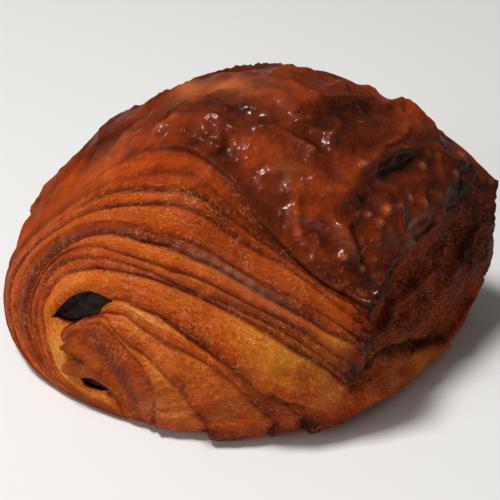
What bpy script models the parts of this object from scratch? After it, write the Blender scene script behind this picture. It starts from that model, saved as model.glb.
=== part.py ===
"""Pain au chocolat: a rolled, laminated pastry baked round two chocolate batons.

X runs across the roll (the flap's side is +X), Y along the batons (-Y is the cut end
with the open chocolate), Z up. The lamination shows at both cut ends as wraps that
start at the seam under the roll, go round the left side and over the top, and end at
the flap's side. Sizes are in millimetres and are scaled to metres at the end.
"""
import math

import bmesh
import bpy
import numpy as np
from mathutils import Vector, noise

MM = 0.001
SEED_SHIFT = Vector((3.7, 1.9, 8.3))     # start point in the noise field

# the whole
NEAR_RIM = 18.0          # rim of the near cut end, in front of the middle
NEAR_BULGE = 23.0        # how far the near end swells past its rim
FAR_RIM = 33.0
FAR_BULGE = 12.5
DOME_POWER = 0.65
DOME_SOFT = 0.03         # rounds the dome off where it meets the rim
DOME_TURN = 8.0          # degrees over which the dome's reach is evened out
REACH_LEFT, REACH_RIGHT, REACH_DOWN = 45.5, 48.0, 60.0
CORE = (-8.0, 12.0)      # x, z where both ends stand out most
SEAM = (-5.0, 0.5)       # x, z where every wrap starts, under the roll
SHOULDER = 0.8           # lower is squarer between the ends

# wraps on the near end as x, z; the key is 0 at the heart and 1 at the skin's rim
WRAPS = {
    0.00: [(-4.5, 1.2), (-5.2, 6), (-7.8, 9.8), (-11.5, 11.2), (-16, 12), (-11.5, 12.6),
           (-7, 11), (-4.2, 7.2), (-3.3, 1.8)],
    0.33: [(-5, 1), (-6.6, 5.5), (-9.5, 8.6), (-14.5, 9), (-19.3, 11), (-20.2, 15),
           (-18.5, 19.5), (-11, 27.5), (-5, 32), (3.5, 30.5), (18, 23), (26.5, 16.2),
           (36, 9.8), (38.5, 4)],
    0.46: [(-5, 0.8), (-8, 3.6), (-14, 4.5), (-20.5, 6), (-25, 11.5), (-27.3, 20.7),
           (-23.2, 28.8), (-12.2, 35.5), (-1, 37.3), (11, 34.5), (28, 28.5), (34.5, 23.3),
           (39.5, 13.5)],
    0.66: [(-5, 0.7), (-11.5, 1.9), (-20, 3.6), (-28.2, 7), (-33.8, 15.5), (-30.8, 26.6),
           (-17.2, 39.3), (-5.2, 43.7), (7, 42), (20, 36), (33, 30.2), (40.2, 24),
           (42, 18.5)],
    0.90: [(-5, 0.6), (-13, 1.1), (-22.5, 1.2), (-31.8, 3.2), (-40.8, 9), (-42.8, 17),
           (-35.4, 29), (-16, 45), (-2.4, 50.6), (5.7, 50.6), (17, 43.5), (30.5, 37),
           (42.6, 29.6)],
    1.00: [(-5, 0.5), (-13.5, 0.5), (-24, 0.6), (-34.4, 2.2), (-46, 5.5), (-50.4, 13),
           (-45.3, 22.2), (-28.5, 40.5), (-15.2, 52.2), (-1, 58.5), (6.8, 56.3),
           (19.6, 45.2), (34.5, 35.5), (42.4, 32.2)],
}
# share of each wrap's length at its lower left corner and at its top
CORNER_AT, TOP_AT = 0.25, 0.60
CORNERS = {0.00: (0.47, 0.66), 0.33: (0.206, 0.457), 0.46: (0.205, 0.52),
           0.66: (0.22, 0.576), 0.90: (0.27, 0.66), 1.00: (0.29, 0.693)}
SKIN_CORNERS = (0.29, 0.693)
MID_SKIN = [(-5, 0), (-18, 0), (-32, 0), (-43, 2), (-51, 8), (-54, 18), (-49.5, 29),
            (-39, 40.8), (-27, 50), (-14, 58.2), (0, 64), (13, 62.6), (25, 58),
            (35, 51.2), (41.5, 43.5), (43.5, 37)]
FAR_SKIN = [(-5, 0.5), (-16, 0.5), (-29, 0.7), (-39, 3), (-45.5, 9), (-47.5, 18),
            (-42, 31), (-31, 41.5), (-18, 49.6), (-3, 55), (12, 54.5), (26, 50.8),
            (38, 46), (46, 42), (51.3, 38.3)]
# the flap's side, by the same keys as the wraps, from its edge down to the ground
MID_SIDE = {0.00: (-3, 0), 0.33: (45, 0), 0.37: (47, 1.5), 0.42: (46.8, 4.5),
            0.46: (44, 6.5), 0.53: (44.8, 10.5), 0.66: (46.8, 19), 0.85: (42.4, 31),
            0.92: (43.2, 34), 1.00: (43.5, 37)}
FAR_SIDE = {0.00: (-3, 1), 0.33: (46, 1), 0.46: (49, 9), 0.66: (51.3, 19.5),
            0.85: (51.1, 31), 1.00: (51.3, 38.3)}

# lamination: edges of the layers, heart to rim, as wrap key against place along the wrap
LAYER_EDGES = [
    {0: 0.0, 1: 0.0},
    {0: 0.03, 0.29: 0.27, 0.37: 0.277, 0.49: 0.178, 0.66: 0.048, 1: 0.016},
    {0: 0.06, 0.3: 0.29, 0.4: 0.298, 0.5: 0.265, 0.645: 0.15, 0.82: 0.087, 1: 0.036},
    {0: 0.09, 0.3: 0.302, 0.42: 0.308, 0.52: 0.285, 0.63: 0.185, 0.79: 0.164, 1: 0.112},
    {0: 0.13, 0.3: 0.312, 0.5: 0.3, 0.66: 0.243, 0.82: 0.278, 0.9: 0.243, 1: 0.19},
    {0: 0.33, 0.56: 0.33, 0.63: 0.302, 0.8: 0.316, 0.91: 0.289, 1: 0.24},
    {0: 0.455, 0.74: 0.45, 0.88: 0.437, 1: 0.49},
    {0: 0.51, 0.5: 0.52, 0.69: 0.478, 0.88: 0.472, 1: 0.54},
    {0: 0.585, 0.42: 0.615, 0.6: 0.555, 0.9: 0.545, 1: 0.61},
    {0: 0.655, 0.56: 0.66, 0.8: 0.68, 0.91: 0.672, 1: 0.74},
    {0: 0.79, 0.4: 0.812, 0.61: 0.735, 0.87: 0.75, 1: 0.785},
    {0: 0.87, 0.47: 0.893, 0.78: 0.9, 0.89: 0.867, 1: 0.83},
    {0: 0.925, 0.48: 0.94, 0.66: 0.922, 0.8: 0.95, 1: 0.9},
    {0: 1.0, 1: 1.0},
]
TONGUE_LAYERS = 5        # the first layers are the rolled tongue over the lower baton
ROW_AT = (0.0, 0.22)     # rows of points in each layer, as shares of its width
WIDE_ROW_AT = (0.0, 0.22, 0.62)
WIDE_LAYERS = (5, 9, 10)
LIP_HEIGHT = 1.1         # how far a layer's inner edge stands out
LIP_SHARE = 0.3          # and at most this share of the layer's width
GROOVE = 0.4
PUFF = 1.3               # the skin's slow bumps
PUFF_LENGTH = 17.0

# chocolate: two batons from end to end, x, z, width, height, turn, ends
BATONS = {
    "chocolate_upper": {"at": (-15.8, 25.6), "size": (20.4, 6.6), "turn": 33.0,
                        "ends": (-36.0, 43.2)},
    "chocolate_lower": {"at": (-11.6, 8.4), "size": (9.6, 3.2), "turn": -3.0,
                        "ends": (-39.6, 43.8)},
}
BATON_SQUARE = 2.6       # power of the batons' section: 2 is an ellipse
BATON_EDGE = 0.5
CLEARANCE = 0.35
CUT_PAST = 12.0

COLUMNS = 56
LENGTHS = 13
ROUND_STEPS = 28


def blend(t):
    t = np.clip(t, 0.0, 1.0)
    return t*t*(3.0-2.0*t)


def curve(points, shares):
    """Points at shares of the length of a centripetal Catmull-Rom curve."""
    p = np.array(points, float)
    p = np.vstack([2*p[0]-p[1], p, 2*p[-1]-p[-2]])
    out = []
    for i in range(1, len(p)-2):
        a, b, c, d = p[i-1:i+3]
        gaps = [np.linalg.norm(b-a)**0.5, np.linalg.norm(c-b)**0.5, np.linalg.norm(d-c)**0.5]
        k = np.concatenate([[0.0], np.cumsum(gaps)])
        t = np.linspace(k[1], k[2], 24, endpoint=False)[:, None]

        def mix(u, v, start, end):
            return ((end-t)*u + (t-start)*v)/(end-start)

        low, mid, top = mix(a, b, k[0], k[1]), mix(b, c, k[1], k[2]), mix(c, d, k[2], k[3])
        out.append(mix(mix(low, mid, k[0], k[2]), mix(mid, top, k[1], k[3]), k[1], k[2]))
    out = np.vstack(out + [p[-2][None]])
    run = np.concatenate([[0.0], np.cumsum(np.linalg.norm(np.diff(out, axis=0), axis=1))])
    want = np.asarray(shares)*run[-1]
    return np.stack([np.interp(want, run, out[:, k]) for k in (0, 1)], -1)


def through(table, at):
    """Smooth curve through the values of a table, without overshoot.

    Where the values are curves, `at` has a row of places for each row of the result."""
    keys = sorted(table)
    x, y, q = np.array(keys, float), np.array([table[k] for k in keys], float), np.asarray(at, float)
    wide = (-1,) + (1,)*(y.ndim-1)
    h = np.diff(x).reshape(wide)
    d = np.diff(y, axis=0)/h
    m = np.zeros_like(y)
    m[0], m[-1] = d[0], d[-1]
    before, after = d[:-1], d[1:]
    w1, w2 = 2*h[1:]+h[:-1], h[1:]+2*h[:-1]
    rising = before*after > 0
    safe_before, safe_after = np.where(rising, before, 1.0), np.where(rising, after, 1.0)
    m[1:-1] = np.where(rising, (w1+w2)/(w1/safe_before+w2/safe_after), 0.0)
    i = np.clip(np.searchsorted(x, q, side="right")-1, 0, len(x)-2)
    t, step = (q-x[i])/np.diff(x)[i], np.diff(x)[i]
    if q.ndim == 2:
        column = np.arange(q.shape[1])[None, :]
        y0, y1, m0, m1 = y[i, column], y[i+1, column], m[i, column], m[i+1, column]
        t, step = t[..., None], step[..., None]
    else:
        y0, y1, m0, m1 = y[i], y[i+1], m[i], m[i+1]
        t, step = t.reshape(wide), step.reshape(wide)
    return ((1+2*t)*(1-t)**2*y0 + t*(1-t)**2*step*m0
            + t*t*(3-2*t)*y1 + t*t*(t-1)*step*m1)


def shares(s, corners):
    """Share of a wrap's length at s, so that corners and tops lie side by side."""
    return np.interp(s, [0.0, CORNER_AT, TOP_AT, 1.0], [0.0, corners[0], corners[1], 1.0])


def make_reach():
    """How far the dome reaches from the core, degree by degree."""
    rim = curve(WRAPS[1.0], np.linspace(0.31, 1.0, 200)) - np.array(CORE)
    degrees = np.degrees(np.arctan2(rim[:, 1], rim[:, 0]))
    radius = np.hypot(rim[:, 0], rim[:, 1])
    low = np.arange(-165.0, -8.0, 4.0)
    c, s = np.cos(np.radians(low)), np.sin(np.radians(low))
    side = np.where(c > 0, REACH_RIGHT, REACH_LEFT)
    degrees = np.mod(np.concatenate([degrees, low]), 360.0)
    radius = np.concatenate([radius, 1/np.sqrt((c/side)**2 + (s/REACH_DOWN)**2)])
    order = np.argsort(degrees)
    turn = np.arange(360.0)
    even = np.interp(turn, degrees[order], radius[order], period=360.0)
    span = int(4*DOME_TURN)
    weight = np.exp(-0.5*(np.arange(-span, span+1)/DOME_TURN)**2)
    looped = np.concatenate([even[-span:], even, even[:span]])
    return turn, np.convolve(looped, weight/weight.sum(), "valid")


REACH = make_reach()


def dome(x, z):
    """1 at the core of a cut end, 0 at its rim."""
    dx, dz = x-CORE[0], z-CORE[1]
    reach = np.interp(np.mod(np.degrees(np.arctan2(dz, dx)), 360.0), *REACH, period=360.0)
    p = np.clip(1-(np.hypot(dx, dz)/reach)**2, 0.0, 1.0)
    foot = DOME_SOFT**DOME_POWER
    return ((p+DOME_SOFT)**DOME_POWER-foot)/((1+DOME_SOFT)**DOME_POWER-foot)


def layer_rows(s):
    """Wrap keys of the rows of points, per column, and each row's layer and share of it."""
    edges = np.array([through(table, s) for table in LAYER_EDGES])
    rows = []
    for k in range(len(edges)-1):
        rows += [(k, t) for t in (WIDE_ROW_AT if k in WIDE_LAYERS else ROW_AT)]
    rows.append((len(edges)-2, 1.0))
    layer, share = np.array([r[0] for r in rows]), np.array([r[1] for r in rows])
    n = edges[layer]*(1-share[:, None]) + edges[layer+1]*share[:, None]
    return n, layer, share


def lifted(block, s, n, layer, share, outward):
    """Moves a cut end along its normal by the layers' relief: a lip, then a slope down."""
    across = np.gradient(block, axis=0)
    along = np.gradient(block, axis=1)
    normal = np.cross(along, across)
    size = np.linalg.norm(normal, axis=-1, keepdims=True)
    normal = normal/np.maximum(size, 1e-6)
    normal = np.where(normal[..., 1:2]*outward < 0, -normal, normal)
    first = np.array([np.argmax(layer == k) for k in layer])
    after = np.array([np.argmax(layer == k+1) if k < layer[-1] else len(layer)-1 for k in layer])
    wide = np.linalg.norm(block[after]-block[first], axis=-1)
    tall = np.minimum(LIP_HEIGHT, LIP_SHARE*wide)
    slope = np.where(share > 0.01, np.clip(1-share, 0, 1)**0.7, 0.0)
    tongue = (layer < TONGUE_LAYERS)[:, None]
    fade = np.where(tongue, blend((s-0.22)/0.12), blend(s/0.15))*blend((1-s)/0.06)
    inner = blend((1-n)/0.03)*blend(n/0.02)
    height = (tall*slope[:, None] - np.minimum(GROOVE, 0.12*wide))*fade*inner
    return block + normal*height[..., None]


def ends(s):
    """Both cut ends as grids of points, rows out to the skin and columns along a wrap,
    and the rows' wrap keys."""
    n, layer, share = layer_rows(s)
    guides = {k: curve(WRAPS[k], shares(s, CORNERS[k])) for k in WRAPS}
    flat = through(guides, n)
    flat[:, 0] = SEAM
    swell = dome(flat[..., 0], flat[..., 1])
    near = np.stack([flat[..., 0], -(NEAR_RIM+NEAR_BULGE*swell), flat[..., 1]], -1)
    skin_shift = curve(FAR_SKIN, shares(s, SKIN_CORNERS)) - flat[-1]
    side_shift = through(FAR_SIDE, n[:, -1]) - flat[:, -1]
    out = (n**2)[..., None]
    late = (np.clip((s-0.6)/0.4, 0, 1)**2)[None, :, None]
    far_flat = flat + skin_shift[None]*out
    far_flat = far_flat + (side_shift[:, None]-skin_shift[None, -1:]*out)*late
    far_flat[:, 0] = SEAM
    far_flat[..., 1] = np.maximum(far_flat[..., 1], 0.5)
    far = np.stack([far_flat[..., 0], FAR_RIM+FAR_BULGE*swell, far_flat[..., 1]], -1)
    return (lifted(near, s, n, layer, share, -1.0), lifted(far, s, n, layer, share, 1.0),
            n[:, -1])


def skin_rows(near_ring, far_ring, s, n):
    """Rows of the skin from the near rim to the far rim, without the rims themselves.

    The ring runs along the rim and down the flap's side, where n is the wrap key."""
    top = curve(MID_SKIN, shares(s[1:], SKIN_CORNERS))
    side = through(MID_SIDE, n[:-1][::-1])
    mid = np.vstack([top, side, [(SEAM[0], 0.0)]])
    half = (near_ring[:, [0, 2]]+far_ring[:, [0, 2]])/2
    rows = []
    for v in np.linspace(0, 1, LENGTHS+2)[1:-1]:
        row = near_ring*(1-v)+far_ring*v
        row[:, [0, 2]] += (4*v*(1-v))**SHOULDER*(mid-half)
        row = np.array([puffed(p, v) for p in row])
        row[:, 2] = np.maximum(row[:, 2], 0.0)
        rows.append(row)
    return rows


def puffed(p, v):
    """A skin point moved in or out by the slow bumps; the flat foot stays."""
    hold = min(1.0, max(0.0, (p[2]-4.0)/16.0))*math.sin(math.pi*v)
    level = noise.noise(Vector(p)/PUFF_LENGTH+SEED_SHIFT)
    out = Vector((p[0]+2.0, 0.0, p[2]-26.0)).normalized()
    return np.array(Vector(p)+out*(PUFF*hold*level))


def zipper(left, right, points):
    """Triangles between two chains of vertex numbers that start and end together."""
    def run(chain):
        gaps = [np.linalg.norm(points[b]-points[a]) for a, b in zip(chain, chain[1:])]
        total = np.concatenate([[0.0], np.cumsum(gaps)])
        return total/total[-1]

    a, b = run(left), run(right)
    i, j, faces = 0, 0, []
    while i < len(left)-1 or j < len(right)-1:
        go_left = j == len(right)-1 or (i < len(left)-1 and a[i+1] <= b[j+1])
        if go_left:
            face = (left[i], left[i+1], right[j])
            i += 1
        else:
            face = (left[i], right[j+1], right[j])
            j += 1
        if len(set(face)) == 3:
            faces.append(face)
    return faces


def pastry_mesh():
    """Vertices and faces of the closed pastry."""
    s = np.linspace(0, 1, COLUMNS+1)
    near, far, n = ends(s)
    last, outer = len(s)-1, len(n)-1
    ring = [(outer, i) for i in range(1, last+1)]
    ring += [(j, last) for j in range(outer-1, -1, -1)] + [(0, 0)]
    points, faces = [], []

    def add_end(block, turned):
        index = np.zeros(block.shape[:2], int)
        points.append(block[0, 0])
        index[:, 0] = len(points)-1
        for j in range(outer+1):
            for i in range(1, last+1):
                index[j, i] = len(points)
                points.append(block[j, i])
        made = []
        for j in range(outer):
            made.append((index[j, 0], index[j, 1], index[j+1, 1]))
            for i in range(1, last):
                made.append((index[j, i], index[j, i+1], index[j+1, i+1], index[j+1, i]))
        tip = int(round(CORNER_AT*last))
        left = [index[0, i] for i in range(0, tip+1)]
        right = [index[0, 0]] + [index[0, i] for i in range(last, tip-1, -1)]
        made += [tuple(reversed(f)) for f in zipper(left, right, points)]
        faces.extend(tuple(reversed(f)) if turned else f for f in made)
        return [index[j, i] for j, i in ring]

    near_ring, far_ring = add_end(near, False), add_end(far, True)
    rings = [near_ring]
    at_near = np.array([near[j, i] for j, i in ring])
    at_far = np.array([far[j, i] for j, i in ring])
    for row in skin_rows(at_near, at_far, s, n):
        rings.append(list(range(len(points), len(points)+len(row))))
        points.extend(row)
    rings.append(far_ring)
    for a, b in zip(rings, rings[1:]):
        for k in range(len(ring)):
            q = (k+1) % len(ring)
            faces.append((a[k], a[q], b[q], b[k]))
    return points, faces


def rod_mesh(at, size, turn, reach, edge, grow):
    """A straight rod with a rounded section and softened ends."""
    angle = math.radians(turn)
    stations = [(reach[0], edge), (reach[0]+edge, 0.0), (reach[1]-edge, 0.0), (reach[1], edge)]
    if edge == 0.0:
        stations = [(reach[0], 0.0), (reach[1], 0.0)]
    points, faces = [], []
    for y, inset in stations:
        for k in range(ROUND_STEPS):
            c, s = math.cos(2*math.pi*k/ROUND_STEPS), math.sin(2*math.pi*k/ROUND_STEPS)
            a = math.copysign(abs(c)**(2/BATON_SQUARE), c)*(size[0]/2+grow-inset)
            b = math.copysign(abs(s)**(2/BATON_SQUARE), s)*(size[1]/2+grow-inset)
            points.append((at[0]+a*math.cos(angle)-b*math.sin(angle), y,
                           at[1]+a*math.sin(angle)+b*math.cos(angle)))
    for r in range(len(stations)-1):
        for k in range(ROUND_STEPS):
            q = (k+1) % ROUND_STEPS
            a, b = r*ROUND_STEPS, (r+1)*ROUND_STEPS
            faces.append((a+k, a+q, b+q, b+k))
    faces.append(tuple(range(ROUND_STEPS-1, -1, -1)))
    faces.append(tuple(range((len(stations)-1)*ROUND_STEPS, len(stations)*ROUND_STEPS)))
    return points, faces


def make_object(name, points, faces, shift):
    mesh = bpy.data.meshes.new(name)
    mesh.from_pydata([tuple((c+d)*MM for c, d in zip(p, shift)) for p in points], [],
                     [tuple(int(v) for v in f) for f in faces])
    bm = bmesh.new()
    bm.from_mesh(mesh)
    bmesh.ops.recalc_face_normals(bm, faces=bm.faces)
    if bm.calc_volume(signed=True) < 0:
        bmesh.ops.reverse_faces(bm, faces=bm.faces)
    bm.to_mesh(mesh)
    bm.free()
    for face in mesh.polygons:
        face.use_smooth = True
    thing = bpy.data.objects.new(name, mesh)
    bpy.context.scene.collection.objects.link(thing)
    return thing


def cut(target, tool):
    tool.hide_render = True
    tool.display_type = "WIRE"
    mod = target.modifiers.new(tool.name, "BOOLEAN")
    mod.operation = "DIFFERENCE"
    mod.solver = "EXACT"
    mod.object = tool


def paint(thing, name, colour, roughness):
    material = bpy.data.materials.new(name)
    material.use_nodes = True
    shader = material.node_tree.nodes["Principled BSDF"]
    shader.inputs["Base Color"].default_value = (*colour, 1.0)
    shader.inputs["Roughness"].default_value = roughness
    thing.data.materials.append(material)


for old in list(bpy.data.objects):
    bpy.data.objects.remove(old, do_unlink=True)

body_points, body_faces = pastry_mesh()
corners = np.array(body_points)
middle = (corners.min(axis=0)+corners.max(axis=0))/2
shift = (-middle[0], -middle[1], -corners[:, 2].min())
pastry = make_object("pastry", body_points, body_faces, shift)
paint(pastry, "crust", (0.33, 0.11, 0.03), 0.45)
for baton_name, baton in BATONS.items():
    rod = rod_mesh(baton["at"], baton["size"], baton["turn"], baton["ends"], BATON_EDGE, 0.0)
    thing = make_object(baton_name, *rod, shift)
    paint(thing, baton_name + "_dark", (0.025, 0.012, 0.008), 0.5)
    past = (baton["ends"][0]-CUT_PAST, baton["ends"][1]+CUT_PAST)
    bore = rod_mesh(baton["at"], baton["size"], baton["turn"], past, 0.0, CLEARANCE)
    cut(pastry, make_object(baton_name + "_tunnel", *bore, shift))
print("shift", shift, "size", corners.max(axis=0)-corners.min(axis=0))
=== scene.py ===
"""Looks of the pain au chocolat: fine laminated crust, glazed skin and baked batons.

Lengths are in millimetres in the part's modelling frame (X across the roll, -Y the cut
end with the open chocolate, Z up) until `place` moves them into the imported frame.
"""
import math

import bpy
import numpy as np
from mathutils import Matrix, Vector, noise
from mathutils.bvhtree import BVHTree
from mathutils.kdtree import KDTree


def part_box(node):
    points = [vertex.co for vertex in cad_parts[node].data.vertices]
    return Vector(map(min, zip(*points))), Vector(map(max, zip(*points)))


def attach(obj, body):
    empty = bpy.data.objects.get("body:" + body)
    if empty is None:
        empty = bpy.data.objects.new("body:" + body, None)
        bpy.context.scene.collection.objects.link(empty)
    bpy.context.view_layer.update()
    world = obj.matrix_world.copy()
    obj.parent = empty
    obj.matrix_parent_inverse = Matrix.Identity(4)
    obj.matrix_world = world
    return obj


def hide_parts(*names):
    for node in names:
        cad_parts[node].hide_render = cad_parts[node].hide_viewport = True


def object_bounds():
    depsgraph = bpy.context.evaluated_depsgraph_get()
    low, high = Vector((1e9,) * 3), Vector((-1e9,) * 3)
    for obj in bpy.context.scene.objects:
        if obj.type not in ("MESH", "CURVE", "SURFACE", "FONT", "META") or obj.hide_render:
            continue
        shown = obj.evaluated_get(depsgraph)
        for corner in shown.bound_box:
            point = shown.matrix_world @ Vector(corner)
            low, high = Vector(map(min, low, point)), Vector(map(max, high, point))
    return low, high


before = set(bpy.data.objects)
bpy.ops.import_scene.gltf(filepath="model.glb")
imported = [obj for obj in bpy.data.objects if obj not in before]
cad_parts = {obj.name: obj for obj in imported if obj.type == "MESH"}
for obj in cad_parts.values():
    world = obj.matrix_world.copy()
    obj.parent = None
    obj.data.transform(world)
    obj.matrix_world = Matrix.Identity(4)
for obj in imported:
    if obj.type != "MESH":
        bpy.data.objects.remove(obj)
CAD_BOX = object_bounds()

MM = 0.001
SEED_SHIFT = Vector((3.7, 1.9, 8.3))

# the form, as the solids have it
NEAR_RIM, NEAR_BULGE = 18.0, 23.0
FAR_RIM, FAR_BULGE = 33.0, 12.5
DOME_POWER, DOME_SOFT, DOME_TURN = 0.65, 0.03, 8.0
REACH_LEFT, REACH_RIGHT, REACH_DOWN = 45.5, 48.0, 60.0
CORE = (-8.0, 12.0)
SEAM = (-5.0, 0.5)
SHOULDER = 0.8
WRAPS = {
    0.00: [(-4.5, 1.2), (-5.2, 6), (-7.8, 9.8), (-11.5, 11.2), (-16, 12), (-11.5, 12.6),
           (-7, 11), (-4.2, 7.2), (-3.3, 1.8)],
    0.33: [(-5, 1), (-6.6, 5.5), (-9.5, 8.6), (-14.5, 9), (-19.3, 11), (-20.2, 15),
           (-18.5, 19.5), (-11, 27.5), (-5, 32), (3.5, 30.5), (18, 23), (26.5, 16.2),
           (36, 9.8), (38.5, 4)],
    0.46: [(-5, 0.8), (-8, 3.6), (-14, 4.5), (-20.5, 6), (-25, 11.5), (-27.3, 20.7),
           (-23.2, 28.8), (-12.2, 35.5), (-1, 37.3), (11, 34.5), (28, 28.5), (34.5, 23.3),
           (39.5, 13.5)],
    0.66: [(-5, 0.7), (-11.5, 1.9), (-20, 3.6), (-28.2, 7), (-33.8, 15.5), (-30.8, 26.6),
           (-17.2, 39.3), (-5.2, 43.7), (7, 42), (20, 36), (33, 30.2), (40.2, 24),
           (42, 18.5)],
    0.90: [(-5, 0.6), (-13, 1.1), (-22.5, 1.2), (-31.8, 3.2), (-40.8, 9), (-42.8, 17),
           (-35.4, 29), (-16, 45), (-2.4, 50.6), (5.7, 50.6), (17, 43.5), (30.5, 37),
           (42.6, 29.6)],
    1.00: [(-5, 0.5), (-13.5, 0.5), (-24, 0.6), (-34.4, 2.2), (-46, 5.5), (-50.4, 13),
           (-45.3, 22.2), (-28.5, 40.5), (-15.2, 52.2), (-1, 58.5), (6.8, 56.3),
           (19.6, 45.2), (34.5, 35.5), (42.4, 32.2)],
}
CORNER_AT, TOP_AT = 0.25, 0.60
CORNERS = {0.00: (0.47, 0.66), 0.33: (0.206, 0.457), 0.46: (0.205, 0.52),
           0.66: (0.22, 0.576), 0.90: (0.27, 0.66), 1.00: (0.29, 0.693)}
SKIN_CORNERS = (0.29, 0.693)
MID_SKIN = [(-5, 0), (-18, 0), (-32, 0), (-43, 2), (-51, 8), (-54, 18), (-49.5, 29),
            (-39, 40.8), (-27, 50), (-14, 58.2), (0, 64), (13, 62.6), (25, 58),
            (35, 51.2), (41.5, 43.5), (43.5, 37)]
FAR_SKIN = [(-5, 0.5), (-16, 0.5), (-29, 0.7), (-39, 3), (-45.5, 9), (-47.5, 18),
            (-42, 31), (-31, 41.5), (-18, 49.6), (-3, 55), (12, 54.5), (26, 50.8),
            (38, 46), (46, 42), (51.3, 38.3)]
MID_SIDE = {0.00: (-3, 0), 0.33: (45, 0), 0.37: (47, 1.5), 0.42: (46.8, 4.5),
            0.46: (44, 6.5), 0.53: (44.8, 10.5), 0.66: (46.8, 19), 0.85: (42.4, 31),
            0.92: (43.2, 34), 1.00: (43.5, 37)}
FAR_SIDE = {0.00: (-3, 1), 0.33: (46, 1), 0.46: (49, 9), 0.66: (51.3, 19.5),
            0.85: (51.1, 31), 1.00: (51.3, 38.3)}
PUFF, PUFF_LENGTH = 1.3, 17.0
BATONS = {
    "chocolate_upper": {"at": (-15.8, 25.6), "size": (20.4, 6.6), "turn": 33.0,
                        "ends": (-36.0, 43.2)},
    "chocolate_lower": {"at": (-11.6, 8.4), "size": (9.6, 3.2), "turn": -3.0,
                        "ends": (-39.6, 43.8)},
}
BATON_SQUARE = 2.6
CLEARANCE = 0.35
TUCK_HEIGHT, TUCK_DEPTH = 4.0, 1.6
# the two openings in the photograph: outline, how far the lips turn in
OPENINGS = {
    "chocolate_upper": ([(53, 316.5), (60, 321), (66, 325), (73, 325), (80, 321.5),
                         (94, 318), (101, 312), (104.5, 305.5), (113, 301), (104, 296),
                         (94, 291.5), (85, 290.8), (75, 294), (66, 301), (60, 307.5),
                         (56.5, 312)], 0.0),
    "chocolate_lower": ([(80.5, 378), (84, 385), (94, 390.5), (109, 391), (106, 387),
                         (98, 382.5), (89, 379.5)], 0.4),
}

# edges of the layers from the heart to the rim: wrap key against place along the wrap
LAYER_EDGES = [
    {0: 0.0, 1: 0.0},
    {0: 0.03, 0.2: 0.17, 0.29: 0.27, 0.34: 0.29, 0.37: 0.277, 0.49: 0.178, 0.6: 0.091,
     0.66: 0.048, 0.77: 0.025, 1: 0.016},
    {0: 0.06, 0.2: 0.2, 0.3: 0.29, 0.4: 0.298, 0.5: 0.265, 0.576: 0.207, 0.645: 0.15,
     0.716: 0.128, 0.763: 0.108, 0.816: 0.087, 0.894: 0.061, 1: 0.036},
    {0: 0.09, 0.2: 0.23, 0.3: 0.302, 0.42: 0.308, 0.52: 0.285, 0.58: 0.235, 0.63: 0.185,
     0.7: 0.168, 0.79: 0.164, 0.84: 0.153, 0.89: 0.138, 1: 0.112},
    {0: 0.13, 0.2: 0.26, 0.3: 0.312, 0.5: 0.3, 0.6: 0.262, 0.66: 0.243, 0.72: 0.253,
     0.78: 0.273, 0.82: 0.278, 0.86: 0.268, 0.9: 0.243, 1: 0.19},
    {0: 0.33, 0.56: 0.33, 0.63: 0.302, 0.67: 0.315, 0.74: 0.306, 0.8: 0.316, 0.87: 0.304,
     0.91: 0.289, 0.94: 0.262, 1: 0.24},
    {0: 0.455, 0.6: 0.453, 0.74: 0.45, 0.82: 0.44, 0.88: 0.437, 0.92: 0.447, 0.96: 0.475,
     1: 0.49},
    {0: 0.51, 0.39: 0.53, 0.5: 0.52, 0.55: 0.512, 0.62: 0.5, 0.69: 0.478, 0.8: 0.47,
     0.88: 0.472, 0.94: 0.5, 1: 0.54},
    {0: 0.585, 0.3: 0.6, 0.42: 0.615, 0.47: 0.603, 0.53: 0.585, 0.6: 0.555, 0.67: 0.548,
     0.74: 0.556, 0.8: 0.545, 0.9: 0.545, 1: 0.61},
    {0: 0.655, 0.3: 0.65, 0.47: 0.66, 0.56: 0.66, 0.628: 0.65, 0.667: 0.667, 0.71: 0.657,
     0.75: 0.67, 0.8: 0.68, 0.86: 0.673, 0.91: 0.672, 0.944: 0.693, 1: 0.74},
    {0: 0.79, 0.3: 0.8, 0.4: 0.812, 0.5: 0.79, 0.556: 0.762, 0.61: 0.735, 0.67: 0.735,
     0.78: 0.745, 0.87: 0.75, 0.96: 0.76, 1: 0.785},
    {0: 0.87, 0.38: 0.893, 0.47: 0.893, 0.61: 0.882, 0.667: 0.88, 0.72: 0.887, 0.78: 0.9,
     0.83: 0.897, 0.89: 0.867, 0.944: 0.842, 1: 0.83},
    {0: 0.925, 0.48: 0.94, 0.555: 0.934, 0.61: 0.925, 0.667: 0.922, 0.717: 0.936,
     0.78: 0.95, 0.83: 0.948, 0.89: 0.93, 1: 0.9},
    {0: 0.96, 0.5: 0.965, 0.6: 0.958, 0.68: 0.96, 0.78: 0.972, 0.9: 0.965, 1: 0.95},
    {0: 1.0, 1: 1.0},
]
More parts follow.
